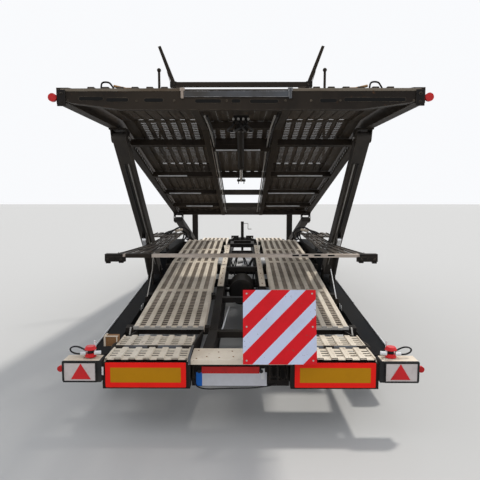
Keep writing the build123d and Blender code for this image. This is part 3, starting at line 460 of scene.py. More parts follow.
dark = painted("dark_paint", (0.014, 0.013, 0.013), (0.034, 0.028, 0.022), (0.20, 0.17, 0.13))
dark_brown = painted("dark_brown_paint", (0.021, 0.017, 0.014), (0.044, 0.034, 0.025), (0.24, 0.20, 0.15))
arm_paint = painted("arm_paint", (0.050, 0.047, 0.045), (0.085, 0.075, 0.064), (0.30, 0.27, 0.23))
chassis_paint = painted(
    "chassis_paint", (0.007, 0.008, 0.010), (0.017, 0.016, 0.015), (0.12, 0.11, 0.10), specular=0.03,
)
cream_sheet = track_sheet("cream_sheet", (0.80, 0.72, 0.60), (0.60, 0.52, 0.41), (0.70, 0.62, 0.51))
# Slats of the lower planks: a darker copy of the cream sheet, partly dirt and partly painted shade for the
# shade on the louvres
slat_dirt_and_shade = track_sheet("slat_dirt_and_shade", (0.60, 0.51, 0.41), (0.34, 0.28, 0.22), (0.42, 0.35, 0.28))
dark_sheet = track_sheet("dark_sheet", (0.052, 0.042, 0.033), (0.088, 0.070, 0.052), (0.14, 0.118, 0.094))
cream_paint = painted("cream_paint", (0.84, 0.75, 0.62), (0.62, 0.52, 0.40), (0.88, 0.85, 0.80), 0.4)
rusty = painted("rusty_bracket", (0.34, 0.20, 0.09), (0.22, 0.10, 0.04), (0.46, 0.36, 0.24), 0.6)
worn_lip = painted("worn_lip", (0.20, 0.17, 0.13), (0.10, 0.07, 0.045), (0.50, 0.46, 0.40), 0.6, 0.006)
pale_metal = painted("pale_metal", (0.56, 0.54, 0.50), (0.30, 0.27, 0.23), (0.80, 0.79, 0.76), 0.3, 0.006)
bright_bar = painted("bright_bar", (0.58, 0.50, 0.43), (0.36, 0.29, 0.23), (0.74, 0.70, 0.65), wear=0.006)
grey_strip = painted("grey_strip", (0.115, 0.125, 0.140), (0.075, 0.070, 0.064), (0.6, 0.6, 0.6), wear=0.008)
rim_paint = painted("rim_paint", (0.50, 0.50, 0.48), (0.22, 0.19, 0.16), (0.62, 0.60, 0.56), wear=0.003)
# Painted shade: a near-black finish for sheets and plates that stand for the shade in slots, holes and under
# the planks
shadow = plain("painted_shade", (0.006, 0.006, 0.006), (0.015, 0.013, 0.011), rough=(0.7, 0.9))
steel = plain(
    "bare_steel", (0.42, 0.41, 0.39), (0.20, 0.17, 0.14), metallic=0.8, rough=(0.3, 0.55), scale=20.0,
)
chrome = plain("cylinder_rod", (0.62, 0.62, 0.63), (0.35, 0.33, 0.30), 0.3, (0.08, 0.3), metallic=1.0)
rubber = plain("tyre_rubber", (0.018, 0.018, 0.019), (0.075, 0.068, 0.058), 0.6, (0.65, 0.9), scale=5.0)
board_white = plain("board_white", (0.62, 0.68, 0.86), (0.40, 0.42, 0.50), 0.3, (0.25, 0.45), chips=0.8)
board_red = plain("board_red", (0.74, 0.004, 0.012), (0.48, 0.004, 0.010), 0.35, (0.25, 0.45), chips=0.8)
plate_amber = plain("plate_amber", (0.53, 0.235, 0.001), (0.42, 0.185, 0.002), 0.35, (0.3, 0.5))
plate_red = plain("plate_red", (0.95, 0.014, 0.008), (0.70, 0.012, 0.008), 0.3, (0.3, 0.5))
plate_white = plain("plate_white", (0.66, 0.67, 0.72), (0.46, 0.46, 0.45), 0.4, (0.3, 0.5))
plate_blue = plain("plate_blue", (0.012, 0.15, 0.60), (0.02, 0.09, 0.32), 0.4, (0.3, 0.5))
glass = dict(coat=0.2, scale=14.0)
lens_clear = plain("lens_clear", (0.66, 0.60, 0.58), (0.46, 0.40, 0.37), rough=(0.15, 0.3), **glass)
lens_red = plain("lens_red", (0.62, 0.012, 0.012), (0.34, 0.01, 0.01), rough=(0.12, 0.3), **glass)
lens_amber = plain("lens_amber", (0.72, 0.26, 0.01), (0.40, 0.14, 0.01), rough=(0.15, 0.3), **glass)
black_plastic = plain("black_plastic", (0.016, 0.016, 0.017), (0.06, 0.055, 0.048), rough=(0.4, 0.7))
hose = plain("hose_rubber", (0.012, 0.012, 0.013), (0.045, 0.040, 0.034), rough=(0.45, 0.7))
red_plastic = plain("red_plastic", (0.66, 0.015, 0.020), (0.38, 0.02, 0.02), rough=(0.3, 0.5), coat=0.2)
strip_white = plain("strip_white", (0.76, 0.77, 0.78), (0.46, 0.44, 0.40), 0.6, (0.3, 0.5))

# Materials of the CAD nodes
wheel_words = [f"{axle}_{word}" for axle in ("rear", "front") for side, word in sides]
finishes = {
    dark: (
        "spine_beams", "cross_members", "axles", "leaf_springs", "spring_hangers", "air_tank",
        "foot_brackets", "rail_posts", "rear_barrels", "front_barrels", "head_brackets", "roller_guides",
        "rear_beam", "rear_ties", "drawbar", "towing_eye", "jack",
    ),
    arm_paint: ("rear_arms", "front_arms"),
    dark_brown: (
        "upper_side_beams", "upper_inner_beams", "upper_cross_members", "upper_rear_beam",
        "platform_side_beams", "platform_cross_members", "upper_guards", "upper_centre_panels", "lift_wings",
    ),
    chassis_paint: ("side_rails",),
    cream_paint: ("rear_top_plates",),
    chrome: ("rear_rods", "front_rods"),
    rim_paint: [f"rims_{words}" for words in wheel_words],
    rubber: [f"tyres_{words}" for words in wheel_words],
    board_white: ("warning_board",),
    plate_red: ("marker_plates",),
    plate_white: ("licence_plate",),
    black_plastic: ("lamp_boxes",),
    lens_clear: ("lamp_lenses",),
    lens_red: ("upper_lamps",),
    bright_bar: ("lift_bar",),
    grey_strip: ("rear_beam_strip",),
    cream_sheet: ("rear_tracks", "hump_tracks", "front_tracks", "rear_flap_left", "rear_flap_right"),
    dark_sheet: ("upper_main_tracks", "upper_rear_tracks", "platform_tracks"),
}
for material, names in finishes.items():
    for name in names:
        materials = nodes[name].data.materials
        materials.clear()
        materials.append(material)

# The side lamps and the strip over the licence plate are red, the rear lenses pale
side_lamps_from, plate_strip_to = 1.240, 0.340
lens_mesh = nodes["lamp_lenses"].data
lens_mesh.materials.append(lens_red)
for face in lens_mesh.polygons:
    if not plate_strip_to <= abs(face.center.x) <= side_lamps_from:
        face.material_index = 1

# Places of the tracks and of the rear end, from the frame's boxes
front_low, front_high = box("front_tracks")
front_bend = 6.250
front_line = [(front_low.y, front_high.z - rib_top), (front_bend, front_low.z), (front_high.y, front_low.z)]
track_width = (rib_count - 1) * rib_pitch + rib_width
lower_x = (front_high.x - track_width, front_high.x)
upper_x = (0.390, 0.390 + track_width)
marker_low, marker_high = box("marker_plates")
board_low, board_high = box("warning_board")
lamp_low, lamp_high = box("lamp_boxes")
licence_low, licence_high = box("licence_plate")
flap_low, flap_high = box("rear_flap_right")
plate_inner, plate_outer, flap_end = flap_low.x, flap_high.x, flap_high.y
plate_start, plate_end, flap_start = 0.030, 0.268, 0.314
hinge_s, hinge_z = 0.290, 0.553
beam_top = box("rear_beam")[1].z


def sloped(node, rises=True):
    """Lower edge of a straight track node as a side-view line, from its box."""
    low, high = box(node)
    if rises:
        return [(low.y, low.z), (high.y, high.z - rib_top)]
    return [(low.y, high.z - rib_top), (high.y, low.z)]


def cut_line(line, *shares, seam=0.006):
    """Split a straight line into planks that meet at seams."""
    path = Path(line)
    half_seam = seam / path.length / 2
    parts, done = [], 0.0
    for share in shares:
        parts.append(path.part(done + half_seam, done + share - half_seam))
        done += share
    return parts


def track_pair(name, body, material, lines, xs, thick=skin, slats=None, **options):
    """Replace a pair of track sheets with louvred planks."""
    for side, word in sides:
        piece = Piece(side)
        for line in lines:
            piece.plank(*xs, line, **options)
        piece.sheet(f"{name}_planks_{word}", material, body, node=f"{name}_tracks", thick=thick, slats=slats)


def track_planks():
    """The planks of both decks; the upper ones are thinner, and the sky shows through them."""
    # The lower planks' slats take the darker sheet of dirt and painted shade
    pale = dict(xs=lower_x, slats=slat_dirt_and_shade)
    open_to_sky = dict(
        xs=upper_x, plain_to=box("upper_main_tracks")[1].x, thick=0.0015,
        lips=(0.003, 0.0), open_share=0.315,
    )
    level = dict(open_to_sky, lips=(0.007, 0.0), open_share=0.38)
    main_lines = cut_line(sloped("upper_main_tracks", rises=False), 0.33, 0.34, 0.33)
    track_pair("rear", "chassis", cream_sheet, cut_line(sloped("rear_tracks"), 0.46, 0.54), **pale)
    track_pair("hump", "chassis", cream_sheet, cut_line(sloped("hump_tracks"), 0.5, 0.5), **pale)
    track_pair("front", "chassis", cream_sheet, [front_line], **pale)
    track_pair("upper_main", "upper_deck", dark_sheet, main_lines, **open_to_sky)
    track_pair("upper_rear", "upper_deck", dark_sheet, [sloped("upper_rear_tracks")], **level)
    track_pair("platform", "front_platform", dark_sheet, [sloped("platform_tracks")], **open_to_sky)


# Rear end


def clip(points, limit, keep):
    """Part of a polygon of (x, depth) points where x + depth - limit has the sign of keep."""
    kept = []
    for (x_a, d_a), (x_b, d_b) in zip(points, points[1:] + points[:1]):
        a, b = keep * (x_a + d_a - limit), keep * (x_b + d_b - limit)
        if a >= 0:
            kept.append((x_a, d_a))
        if a * b < 0:
            t = a / (a - b)
            kept.append((x_a + (x_b - x_a) * t, d_a + (d_b - d_a) * t))
    return kept


def warning_board():
    """The board as bands of two colours that rise to the right, on a bare backing sheet."""
    width, lean = 0.500, math.radians(13.4)
    first_white, period, white_run = 0.090, 0.237, 0.106
    up = Vector((0, math.sin(lean), math.cos(lean)))
    back = Vector((0, math.cos(lean), -math.sin(lean)))
    foot = Vector((board_low.x, board_low.y, board_high.z - width * math.cos(lean)))
    square = [(0.0, 0.0), (width, 0.0), (width, width), (0.0, width)]

    def on_board(x, rise, depth):
        """Point on the leaning board."""
        return foot + outwards * x + up * rise + back * depth

    limits = [-width]
    while limits[-1] < 2 * width:
        start = first_white + period * (len(limits) // 2)
        limits += [start, start + white_run]
    for word, parity, material in (("red", 0, board_red), ("white", 1, board_white)):
        piece = Piece()
        for start, stop in list(zip(limits, limits[1:]))[parity::2]:
            band = clip(clip(square, start, 1), stop, -1)
            if len(band) > 2:
                piece.prism([on_board(x, width - depth, 0.0) for x, depth in band], back * 0.002)
        piece.done(f"board_{word}_bands", material, slot="warning_board", node="warning_board")
    piece = Piece().prism([on_board(x, rise, 0.0021) for x, rise in square], back * 0.0018)
    for x in (0.025, width - 0.025):
        for rise in (0.025, width / 2, width - 0.025):
            piece.stud(on_board(x, rise, -0.0015), back, 0.006, 0.006)
    piece.done("board_backing", steel, node="warning_board")


def marker_panels():
    """Amber fields inside the red borders of the marker plates, and their screws."""
    border, screw_in = 0.036, 0.016
    x0, x1, z0, z1, s = 0.381, marker_high.x, marker_low.z, marker_high.z, marker_low.y
    inside = (x0 + border, x1 - border, z0 + border, z1 - border)
    as_marker = dict(slot="marker_plate", node="marker_plates")
    for side, word in sides:
        rim = Piece(side).plate(x0, x1, z0, z1, 0.006, s, 0.006)
        rim.done(f"marker_border_{word}", plate_red, **as_marker)
        field = Piece(side).plate(*inside, 0.003, s - 0.001, 0.004)
        field.done(f"marker_field_{word}", plate_amber, **as_marker)
        screws = Piece(side)
        for x in (x0 + screw_in, (x0 + x1) / 2, x1 - screw_in):
            for z in (z0 + screw_in, z1 - screw_in):
                screws.stud((x, s + 0.001, z), rearwards, 0.0045, 0.003)
        screws.done(f"marker_screws_{word}", plate_red)


def licence_plate():
    """Blank licence plate in its frame, with a plain blue end field and two studs."""
    x0, x1, z0, z1, s = licence_low.x, licence_high.x, licence_low.z, licence_high.z, licence_low.y
    edge, blue_end = 0.004, x0 + 0.048
    rim = Piece().plate(x0, x1, z0, z1, 0.008, s, 0.006)
    rim.done("licence_frame", black_plastic, slot="lamp_box", node="licence_plate")
    for name, start, stop, radius, material in (
        ("licence_face", blue_end, x1 - edge, 0.004, plate_white),
        ("licence_blue_end", x0 + edge, blue_end, 0.003, plate_blue),
    ):
        field = Piece().plate(start, stop, z0 + edge, z1 - edge, radius, s - 0.0012, 0.004)
        field.done(name, material, slot="blank_plate")
    studs = Piece()
    for x in (-0.297, 0.150):
        studs.stud((x, s - 0.001, 0.434), rearwards, 0.014, 0.010, 16)
    studs.done("licence_studs", black_plastic, slot="lamp_box")


def top_plates():
    """Slotted cream plates and flaps of the rear end, the cover over the recess and the board's stays."""
    plate_line = [(plate_start, beam_top), (plate_end, beam_top)]
    flap_line = [(flap_start, beam_top), (flap_end, beam_top)]
    flat = dict(lips=(0.0, 0.0), open_share=0.46)
    knuckle = 0.08
    for side, word in sides:
        piece = Piece(side).plank(plate_inner, plate_outer, plate_line, end_band=0.045, **flat)
        piece.strip(Path(plate_line), [plate_inner, plate_outer], [0.0, 0.0], 0.0, 0.012)
        piece.sheet(f"rear_plate_{word}", cream_sheet, node="rear_top_plates")
        flap = f"rear_flap_{word}"
        piece = Piece(side).plank(plate_inner, plate_outer, flap_line, end_band=0.02, **flat)
        piece.sheet(f"flap_plank_{word}", cream_sheet, flap, node=flap)
        piece = Piece(side)
        for i in range(3):
            x = plate_inner + (plate_outer - plate_inner - knuckle) * i / 2
            piece.rod((x, hinge_s, hinge_z), (x + knuckle, hinge_s, hinge_z), 0.020, 20)
            piece.box((x, hinge_s, hinge_z - 0.010), (x + knuckle, flap_start + 0.02, hinge_z - 0.002))
        piece.done(f"flap_knuckles_{word}", dark, flap, node=flap)
    cover_half, cover_foot, cover_top, lip = 0.350, 0.516, 0.550, 0.005
    profile = [
        (plate_start, cover_foot), (plate_start, cover_top), (hinge_s, cover_top), (hinge_s, cover_top - lip),
        (plate_start + lip, cover_top - lip), (plate_start + lip, cover_foot),
    ]
    cover = Piece().slab(-cover_half, profile, 2 * cover_half)
    cover.done("recess_cover", cream_paint, slot="track_sheet", edge=0.0015, node="rear_top_plates")
    rivets = Piece()
    for x, s in (
        (-0.31, 0.06), (-0.31, 0.24), (-0.24, 0.10), (-0.16, 0.20), (-0.15, 0.08), (-0.06, 0.22),
        (-0.05, 0.10),
    ):
        rivets.stud((x, s, cover_top - 0.001), upwards, 0.006, 0.004)
    rivets.done("cover_rivets", rusty)
    stays = Piece()
    for x in (0.090, 0.290):
        stays.slab(x, [(-0.010, cover_top), (0.150, cover_top), (0.003, 0.882), (-0.050, 0.680)], 0.030)
    stays.done("board_stays", dark, edge=0.002, node="rear_top_plates")


def lamp_details():
    """Red triangles, lens frames and dusty tops of the rear lamp boxes."""
    face = lamp_low.y - 0.005
    triangle = [(1.112 - 0.069, 0.421), (1.112 + 0.069, 0.421), (1.112, 0.533)]
    lens_x0, lens_x1, foot, sill, head, top = 1.002, 1.238, 0.398, 0.409, 0.536, 0.550
    for (side, word), pad_x in zip(sides, (1.005, 1.105)):
        piece = Piece(side).upright(triangle, face, -0.004)
        piece.done(f"triangle_{word}", red_plastic, slot="lens", edge=0.0015)
        piece = Piece(side)
        for x0, x1, z0, z1 in (
            (lens_x0, lens_x1, head, top), (lens_x0, lens_x1, foot, sill),
            (lens_x0, lens_x0 + 0.010, sill, head), (lens_x1 - 0.010, lens_x1, sill, head),
        ):
            piece.box((x0, face - 0.004, z0), (x1, face + 0.012, z1))
        piece.done(f"lens_frame_{word}", black_plastic, slot="lamp_box", edge=0.003)
        piece = Piece(side).box((0.985, lamp_low.y + 0.004, 0.5495), (1.235, lamp_high.y - 0.006, 0.5525))
        piece.box((pad_x, lamp_low.y + 0.03, 0.5525), (pad_x + 0.110, lamp_high.y - 0.03, 0.556))
        piece.done(f"lamp_cover_{word}", cream_paint, slot="track_sheet")


def lashing_caps():
    """Red lashing caps on the lamp boxes, with their cores, knobs and straps."""
    x, s = 1.062, 0.075
    strap = [
        (1.090, s, 0.600), (1.13, s - 0.004, 0.628), (1.18, s, 0.634), (1.215, s + 0.01, 0.612),
        (1.20, s + 0.01, 0.585), (1.15, s, 0.575), (1.10, s, 0.580),
    ]
    for side, word in sides:
        piece = Piece(side).rod((x, s, 0.560), (x, s, 0.586), 0.040, 28)
        piece.rod((x, s, 0.612), (x, s, 0.636), 0.043, 28, 0.032)
        piece.done(f"lashing_cap_{word}", red_plastic, slot="lens", edge=0.003)
        piece = Piece(side).rod((1.088, s - 0.02, 0.588), (1.126, s - 0.02, 0.588), 0.013)
        piece.rod((0.985, s - 0.01, 0.592), (1.030, s - 0.02, 0.592), 0.014)
        piece.rod((1.045, s + 0.05, 0.560), (1.045, s + 0.05, 0.66), 0.007, 12)
        piece.done(f"cap_knob_{word}", strip_white, slot="pale_strip")
        tube(f"cap_strap_{word}", strap, 0.006, black_plastic, side=side)
        piece = Piece(side).rod((x, s, 0.584), (x, s, 0.616), 0.022, 20)
        piece.done(f"cap_core_{word}", black_plastic, slot="lamp_box")


def rusty_bracket():
    """A rusted box on the left rail behind the flap, in a pale angle frame."""
    x0, x1, s, z0, z1 = -1.056, -0.955, 0.400, 0.530, 0.606
    piece = Piece().box((x0, s, z0), (x1, s + 0.070, z1))
    piece.box((x0 + 0.028, s - 0.004, z0 + 0.016), (x1 - 0.022, s, z1 - 0.018))
    piece.done("rusty_bracket", rusty, edge=0.002)
    piece = Piece().box((x0 - 0.006, s - 0.006, z0), (x0 + 0.008, s + 0.072, z1 + 0.006))
    piece.box((x0, s - 0.006, z1 - 0.002), (x1 + 0.003, s + 0.006, z1 + 0.006))
    piece.box((x1 - 0.010, s - 0.006, z0), (x1 - 0.002, s + 0.001, z1))
    piece.done("bracket_frame", cream_paint, edge=0.002)


def hinge_frames():
    """Grey round bars over the flap hinges and along the plates' inner edges, and a strip of tape."""
    x, z = plate_inner - 0.012, 0.574
    side_bar = [(x, 0.270, z), (x, 0.180, z + 0.004), (x, 0.040, z - 0.004), (x, 0.018, 0.520)]
    start, stop = (plate_inner + 0.004, hinge_s, hinge_z), (plate_outer - 0.004, hinge_s, hinge_z)
    for side, word in sides:
        Piece(side).rod(start, stop, 0.0195, 20).done(f"hinge_bar_{word}", grey_strip, f"rear_flap_{word}")
        tube(f"plate_side_bar_{word}", side_bar, 0.009, grey_strip, side=side, smooth=False)
    tape = Piece().box((-0.966, 0.004, 0.450), (-0.955, 0.010, 0.508))
    tape.done("corner_tape", strip_white, slot="pale_strip")


def recess_details():
    """Lugs, shackles, a conduit and a strip of tape in the gaps beside the licence plate."""
    face = 0.140
    piece = Piece()
    for x in (0.205, 0.262, 0.330, -0.345):
        piece.box((x, face - 0.05, 0.380), (x + 0.012, face, 0.500))
        piece.rod((x - 0.008, face - 0.035, 0.400), (x + 0.020, face - 0.035, 0.400), 0.009, 14)
    piece.box((0.200, face - 0.012, 0.345), (0.350, face, 0.372))
    piece.done("recess_lugs", dark, edge=0.0015)
    for name, x, top in (("shackle_right", 0.240, 0.470), ("shackle_outer", 0.305, 0.450)):
        tube(name, [
            (x - 0.018, face - 0.03, top), (x - 0.022, face - 0.04, top - 0.045),
            (x, face - 0.045, top - 0.075), (x + 0.022, face - 0.04, top - 0.045),
            (x + 0.018, face - 0.03, top),
        ], 0.006, dark)
    tube("recess_conduit", [
        (-0.335, face - 0.02, 0.500), (-0.350, face - 0.03, 0.440), (-0.340, face - 0.03, 0.370),
        (-0.300, face - 0.02, 0.300), (-0.100, face + 0.01, 0.296), (0.150, face + 0.01, 0.300),
        (0.260, face - 0.02, 0.340),
    ], 0.005, hose)
    tape = Piece().box((0.150, licence_low.y - 0.004, 0.372), (0.176, licence_low.y + 0.001, 0.452))
    tape.done("white_tape", strip_white, slot="pale_strip")


# Upper deck

deck_slope = math.radians(13.28)
deck_kink, deck_kink_z = 1.500, 2.330
inner_beam_x = 0.320


def main_at(x, p, q):
    """Point p along and q square to the sloping deck's lower edge, counted from the kink."""
    cosine, sine = math.cos(deck_slope), math.sin(deck_slope)
    return Vector((x, deck_kink + p * cosine + q * sine, deck_kink_z - p * sine + q * cosine))


def main_run(x, points):
    """Points of the sloping deck at one x."""
    return [main_at(x, p, q) for p, q in points]


def centre_panels():
    """Slotted sheets between the inner beams, over the level and the sloping part."""
    low, high = box("upper_centre_panels")
    sheet_lift, panel_drop, level = 0.066, 0.012, 0.008
    kink = deck_kink + sheet_lift * math.tan(deck_slope / 2)
    top = high.z - panel_drop
    lines = [
        [(low.y, top), (kink - 0.003, top)],
        [(kink + 0.003, top - 0.001), (high.y - panel_drop * math.sin(deck_slope), low.z)],
    ]
    centres = (-0.29, -0.19, -0.09, 0.09, 0.19, 0.29)
    columns = [(x - rib_width / 2, x + rib_width / 2) for x in centres]
    edges = [-inner_beam_x] + [x for column in columns for x in column] + [inner_beam_x]
    for i, (line, rear_lip, open_share) in enumerate(zip(lines, (0.007, 0.003), (0.38, 0.31))):
        piece = Piece()
        path = Path(line)
        for a, b in zip(edges[::2], edges[1::2]):
            piece.strip(path, [a, b], [level, level])
        piece.louvres(path, columns, (rear_lip, 0.0), open_share, 0.03, level)
        piece.sheet(
            f"centre_panel_{i}", dark_sheet, "upper_deck", node="upper_centre_panels", thick=0.0015,
        )


def rear_beam_details():
    """Slots drawn as painted shade, worn lip, bolts, end brackets, strip lugs and lashing hoops of the upper
    rear beam.
    """
    low, high = box("upper_rear_beam")
    face, top = low.y, high.z
    slots, rims = Piece(), Piece()
    for x0, x1, z in (
        (-1.075, -0.915, 2.338), (-0.893, -0.747, 2.330), (-0.640, -0.514, 2.328), (-0.301, -0.128, 2.322),
        (-0.058, 0.001, 2.322), (0.065, 0.251, 2.320), (0.530, 0.640, 2.324), (0.690, 1.095, 2.330),
    ):
        # Painted shade: dark plates just proud of the face stand for the slots, each in a rim
        slots.upright(oblong(x0, x1, z, 0.011), face - 0.0025, 0.003)
        rims.upright(oblong(x0 - 0.004, x1 + 0.004, z + 0.001, 0.015), face - 0.0015, 0.003)
    slots.done("beam_slot_shade", shadow, "upper_deck")
    rims.done("beam_slot_rims", dark_brown, "upper_deck")
    piece = Piece()
    for x0, x1 in ((-high.x + 0.02, -0.395), (0.345, high.x - 0.02)):
        piece.box((x0, face - 0.004, top - 0.014), (x1, face + 0.014, top + 0.004))
    piece.done("beam_lip", worn_lip, "upper_deck", edge=0.004)
    for x, word, paint in ((-0.386, "left", bright_bar), (0.332, "right", grey_strip)):
        piece = Piece().box((x - 0.009, face - 0.014, top - 0.062), (x + 0.009, face, top + 0.006))
        piece.box((x - 0.016, face - 0.010, top - 0.012), (x + 0.016, face + 0.02, top + 0.008))
        piece.done(f"strip_lug_{word}", paint, "upper_deck", edge=0.002)
    piece = Piece()
    for x in (0.028 - high.x, high.x - 0.028):
        piece.box((x - 0.028, face - 0.010, top - 0.110), (x + 0.028, face + 0.002, top - 0.004))
        for z in (top - 0.030, top - 0.085):
            piece.bolt((x, face - 0.010, z), rearwards, 0.010)
    piece.done("end_brackets", dark, "upper_deck", edge=0.002)
    piece = Piece()
    for x in (-1.15, -0.69, -0.44, -0.09, 0.30, 0.47, 0.665, 1.15):
        piece.bolt((x, face, top - 0.075), rearwards, 0.007)
    piece.done("beam_bolts", dark_brown, "upper_deck")
    s, z = 0.12, top + 0.018
    for side, word in sides:
        x = side * 0.915
        tube(f"lash_hoop_{word}", [
            (x - 0.036, s, z), (x - 0.036, s, z + 0.034), (x - 0.020, s - 0.005, z + 0.048),
            (x + 0.020, s - 0.005, z + 0.046), (x + 0.036, s, z + 0.028), (x + 0.052, s, z),
        ], 0.006, dark, "upper_deck")
        piece = Piece(side).box((0.735, s - 0.02, z - 0.004), (0.835, s + 0.05, z + 0.008))
        piece.rod((0.785, s, z + 0.004), (0.865, s, z + 0.022), 0.009, 12)
        piece.done(f"lash_plate_{word}", rusty, "upper_deck", edge=0.002)


def deck_cylinder():
    """The cylinder under the upper deck, its lugs, the valve block with its fittings, and the pipes."""
    x, q = -0.005, -0.060
    barrel = Piece()
    for start, stop, radius in ((-0.15, 1.00, 0.034), (0.98, 1.04, 0.040), (-0.20, -0.14, 0.040)):
        barrel.rod(main_at(x, start, q), main_at(x, stop, q), radius, 28)
    barrel.done("deck_barrel", dark, "upper_deck", edge=0.002)
    rod = Piece().rod(main_at(x, 1.03, q), main_at(x, 1.66, q), 0.019, 24)
    rod.done("deck_rod", chrome, "upper_deck", "rod")
    lugs = Piece()
    for p in (-0.20, 1.66):
        outline = ((p - 0.05, 0.002), (p + 0.05, 0.002), (p + 0.03, -0.10), (p - 0.03, -0.10))
        for x in (-0.045, 0.025):
            lugs.prism(main_run(x, outline), outwards * 0.010)
        lugs.rod(main_at(-0.060, p, q), main_at(0.050, p, q), 0.015)
    lugs.box((-0.035, 0.96, 2.250), (0.060, 1.10, 2.334))
    lugs.box((-0.060, 0.74, 2.300), (0.065, 0.90, 2.345))
    lugs.done("deck_lugs", dark, "upper_deck", edge=0.002)
    fittings = Piece()
    for i, x in enumerate((-0.06, -0.02, 0.02, 0.06)):
        fittings.rod((x, 0.70, 2.31), (x, 0.735, 2.31), 0.010, 10)
        fittings.rod((x, 1.0 + 0.01 * i, 2.245), (x, 1.0 + 0.01 * i, 2.262), 0.009, 6)
    fittings.done("valve_fittings", steel, "upper_deck")
    for i, x in enumerate((-0.285, -0.265, 0.268, 0.290)):
        run = [(p, -0.012 - 0.004 * (k % 2)) for k, p in enumerate((-0.9, -0.3, 0.4, 1.2, 2.2, 3.2, 4.0))]
        pipe = main_run(x, run)
        pipe[0].z, pipe[1].z = deck_kink_z - 0.012, deck_kink_z - 0.014
        tube(f"deck_pipe_{i}", pipe, 0.008, hose if i % 2 else steel, "upper_deck")
    for i, (x, bend) in enumerate(((-0.05, -0.06), (-0.01, 0.04), (0.03, 0.07), (0.05, -0.09))):
        tube(f"deck_feed_{i}", [
            (x, 0.74, 2.29), (x + bend * 0.3, 0.66, 2.245), (x + bend, 0.80, 2.235),
            (x + bend * 1.1, 1.10, 2.260), (bend, 1.38, 2.300),
        ], 0.009, hose, "upper_deck")


def member_details():
    """Painted sunlight as pale strips on the upper cross members' lower edges, an inner beam's worn lower
    edge, and one member's skirt.
    """
    piece = Piece()
    # Painted sunlight: pale strips where the sun falls on the members' lower flanges
    for p, spans in (
        (1.720, ((-1.10, -0.72), (0.47, 1.06))), (2.700, ((-1.10, -0.62), (0.40, 1.10))),
        (3.630, ((-0.95, -0.50), (0.42, 0.98))),
    ):
        rear = p - 0.035
        outline = ((rear - 0.003, 0.0), (rear, 0.0), (rear, 0.016), (rear - 0.003, 0.016))
        for x0, x1 in spans:
            piece.prism(main_run(x0, outline), outwards * (x1 - x0))
    outline = ((0.440, -0.066), (0.444, -0.066), (0.444, -0.050), (0.440, -0.050))
    for x0, x1 in ((-0.270, -0.045), (0.000, 0.200)):
        piece.prism(main_run(x0, outline), outwards * (x1 - x0))
    piece.done("member_edge_sunlight", strip_white, "upper_deck", "pale_strip")
    outline = ((0.4445, -0.070), (0.4500, -0.070), (0.4500, 0.004), (0.4445, 0.004))
    skirt = Piece().prism(main_run(-0.300, outline), outwards * 0.600)
    skirt.done("member_skirt", dark_brown, "upper_deck")
    outline = ((0.30, 0.0), (1.70, 0.0), (1.70, 0.012), (0.30, 0.012))
    worn = Piece().prism(main_run(-inner_beam_x - 0.001, outline), outwards * 0.004)
    worn.done("beam_worn_edge", bright_bar, "upper_deck")


def deck_edge_details():
    """White discs of painted light for daylight through the wheel guard strips' holes, and bolts along the
    upper deck's side beams.
    """
    hole_count, guard_x = 46, 1.167
    first, last = main_at(guard_x, 0.1, 0.034), main_at(guard_x, 4.2, 0.034)
    for side, word in sides:
        holes, bolts = Piece(side), Piece(side)
        # Painted light: white discs stand for daylight seen through the guard strips' holes
        for i in range(hole_count):
            holes.stud(first.lerp(last, i / (hole_count - 1)), inwards, 0.013, 0.002)
        holes.done(f"guard_hole_light_{word}", strip_white, "upper_deck", "pale_strip")
        for i in range(9):
            bolts.bolt(main_at(half_width, 0.2 + i * 0.48, 0.10), outwards, 0.009)
        bolts.done(f"deck_bolts_{word}", steel, "upper_deck")


def guard_wires():
    """Thin stay wires of the guard frame, with their bolts and end blocks."""
    wire = [(0.700, 1.42, 2.86), (0.620, 1.44, 2.60), (0.56, 1.45, 2.44)]
    low_z, high_z, slant = 2.46, 2.738, 0.36
    for side, word in sides:
        tube(f"guard_wire_{word}", wire, 0.003, steel, "upper_deck", side=side, smooth=False)
        piece = Piece(side)
        for z in (low_z, high_z):
            piece.bolt((0.53 + (z - low_z) * slant, 1.40, z), rearwards, 0.010)
        piece.box((0.610, 1.398, 2.712), (0.670, 1.444, 2.764))
        piece.done(f"guard_bolts_{word}", dark, "upper_deck")


# Lift frame between the decks: the wings' edges as (station, x)

wing_inner = ((1.200, 0.800), (3.860, 0.860))
wing_outer = ((1.200, 1.205), (1.380, 1.150), (2.050, 1.045), (3.180, 1.045), (3.190, 1.250), (3.860, 1.250))
bar_low, bar_high = box("lift_bar")
wing_top = bar_low.z + 0.020


def wing_span(s):
    """Inner and outer x of a wing at a station."""
    span = []
    for edge in (wing_inner, wing_outer):
        for (s_a, x_a), (s_b, x_b) in zip(edge, edge[1:]):
            if s <= s_b:
                break
        span.append(x_a + (x_b - x_a) * (s - s_a) / (s_b - s_a))
    return span


def wing_planks():
    """The wings' sheets, with four folded lanes and turned-down edges."""
    lanes, lane_share, fold, foot = 4, 0.55, 0.004, wing_top - 0.016
    stations = (1.200, 1.380, 1.700, 2.050, 2.600, 3.180, 3.190, 3.860)
    for side, word in sides:
        piece = Piece(side)
        for i in range(lanes):
            grid = []
            for s in stations:
                inner, outer = wing_span(s)
                pitch = (outer - inner) / lanes
                start = inner + pitch * i
                stop = start + pitch * lane_share
                row = (
                    (start, -0.010), (start + fold, 0.0), (stop - fold, 0.0), (stop, -0.010),
                    (start + pitch, -0.012),
                )
                grid.append(piece.vertices([(x, s, wing_top + lift) for x, lift in row]))
            piece.web(grid)
        for edge in (0, 1):
            for s_a, s_b in zip(stations, stations[1:]):
                x_a, x_b = wing_span(s_a)[edge], wing_span(s_b)[edge]
                piece.face([(x_a, s_a, foot), (x_b, s_b, foot), (x_b, s_b, wing_top), (x_a, s_a, wing_top)])
        piece.sheet(f"wing_plank_{word}", dark_sheet, "lift_frame", node="lift_wings", thick=0.003)


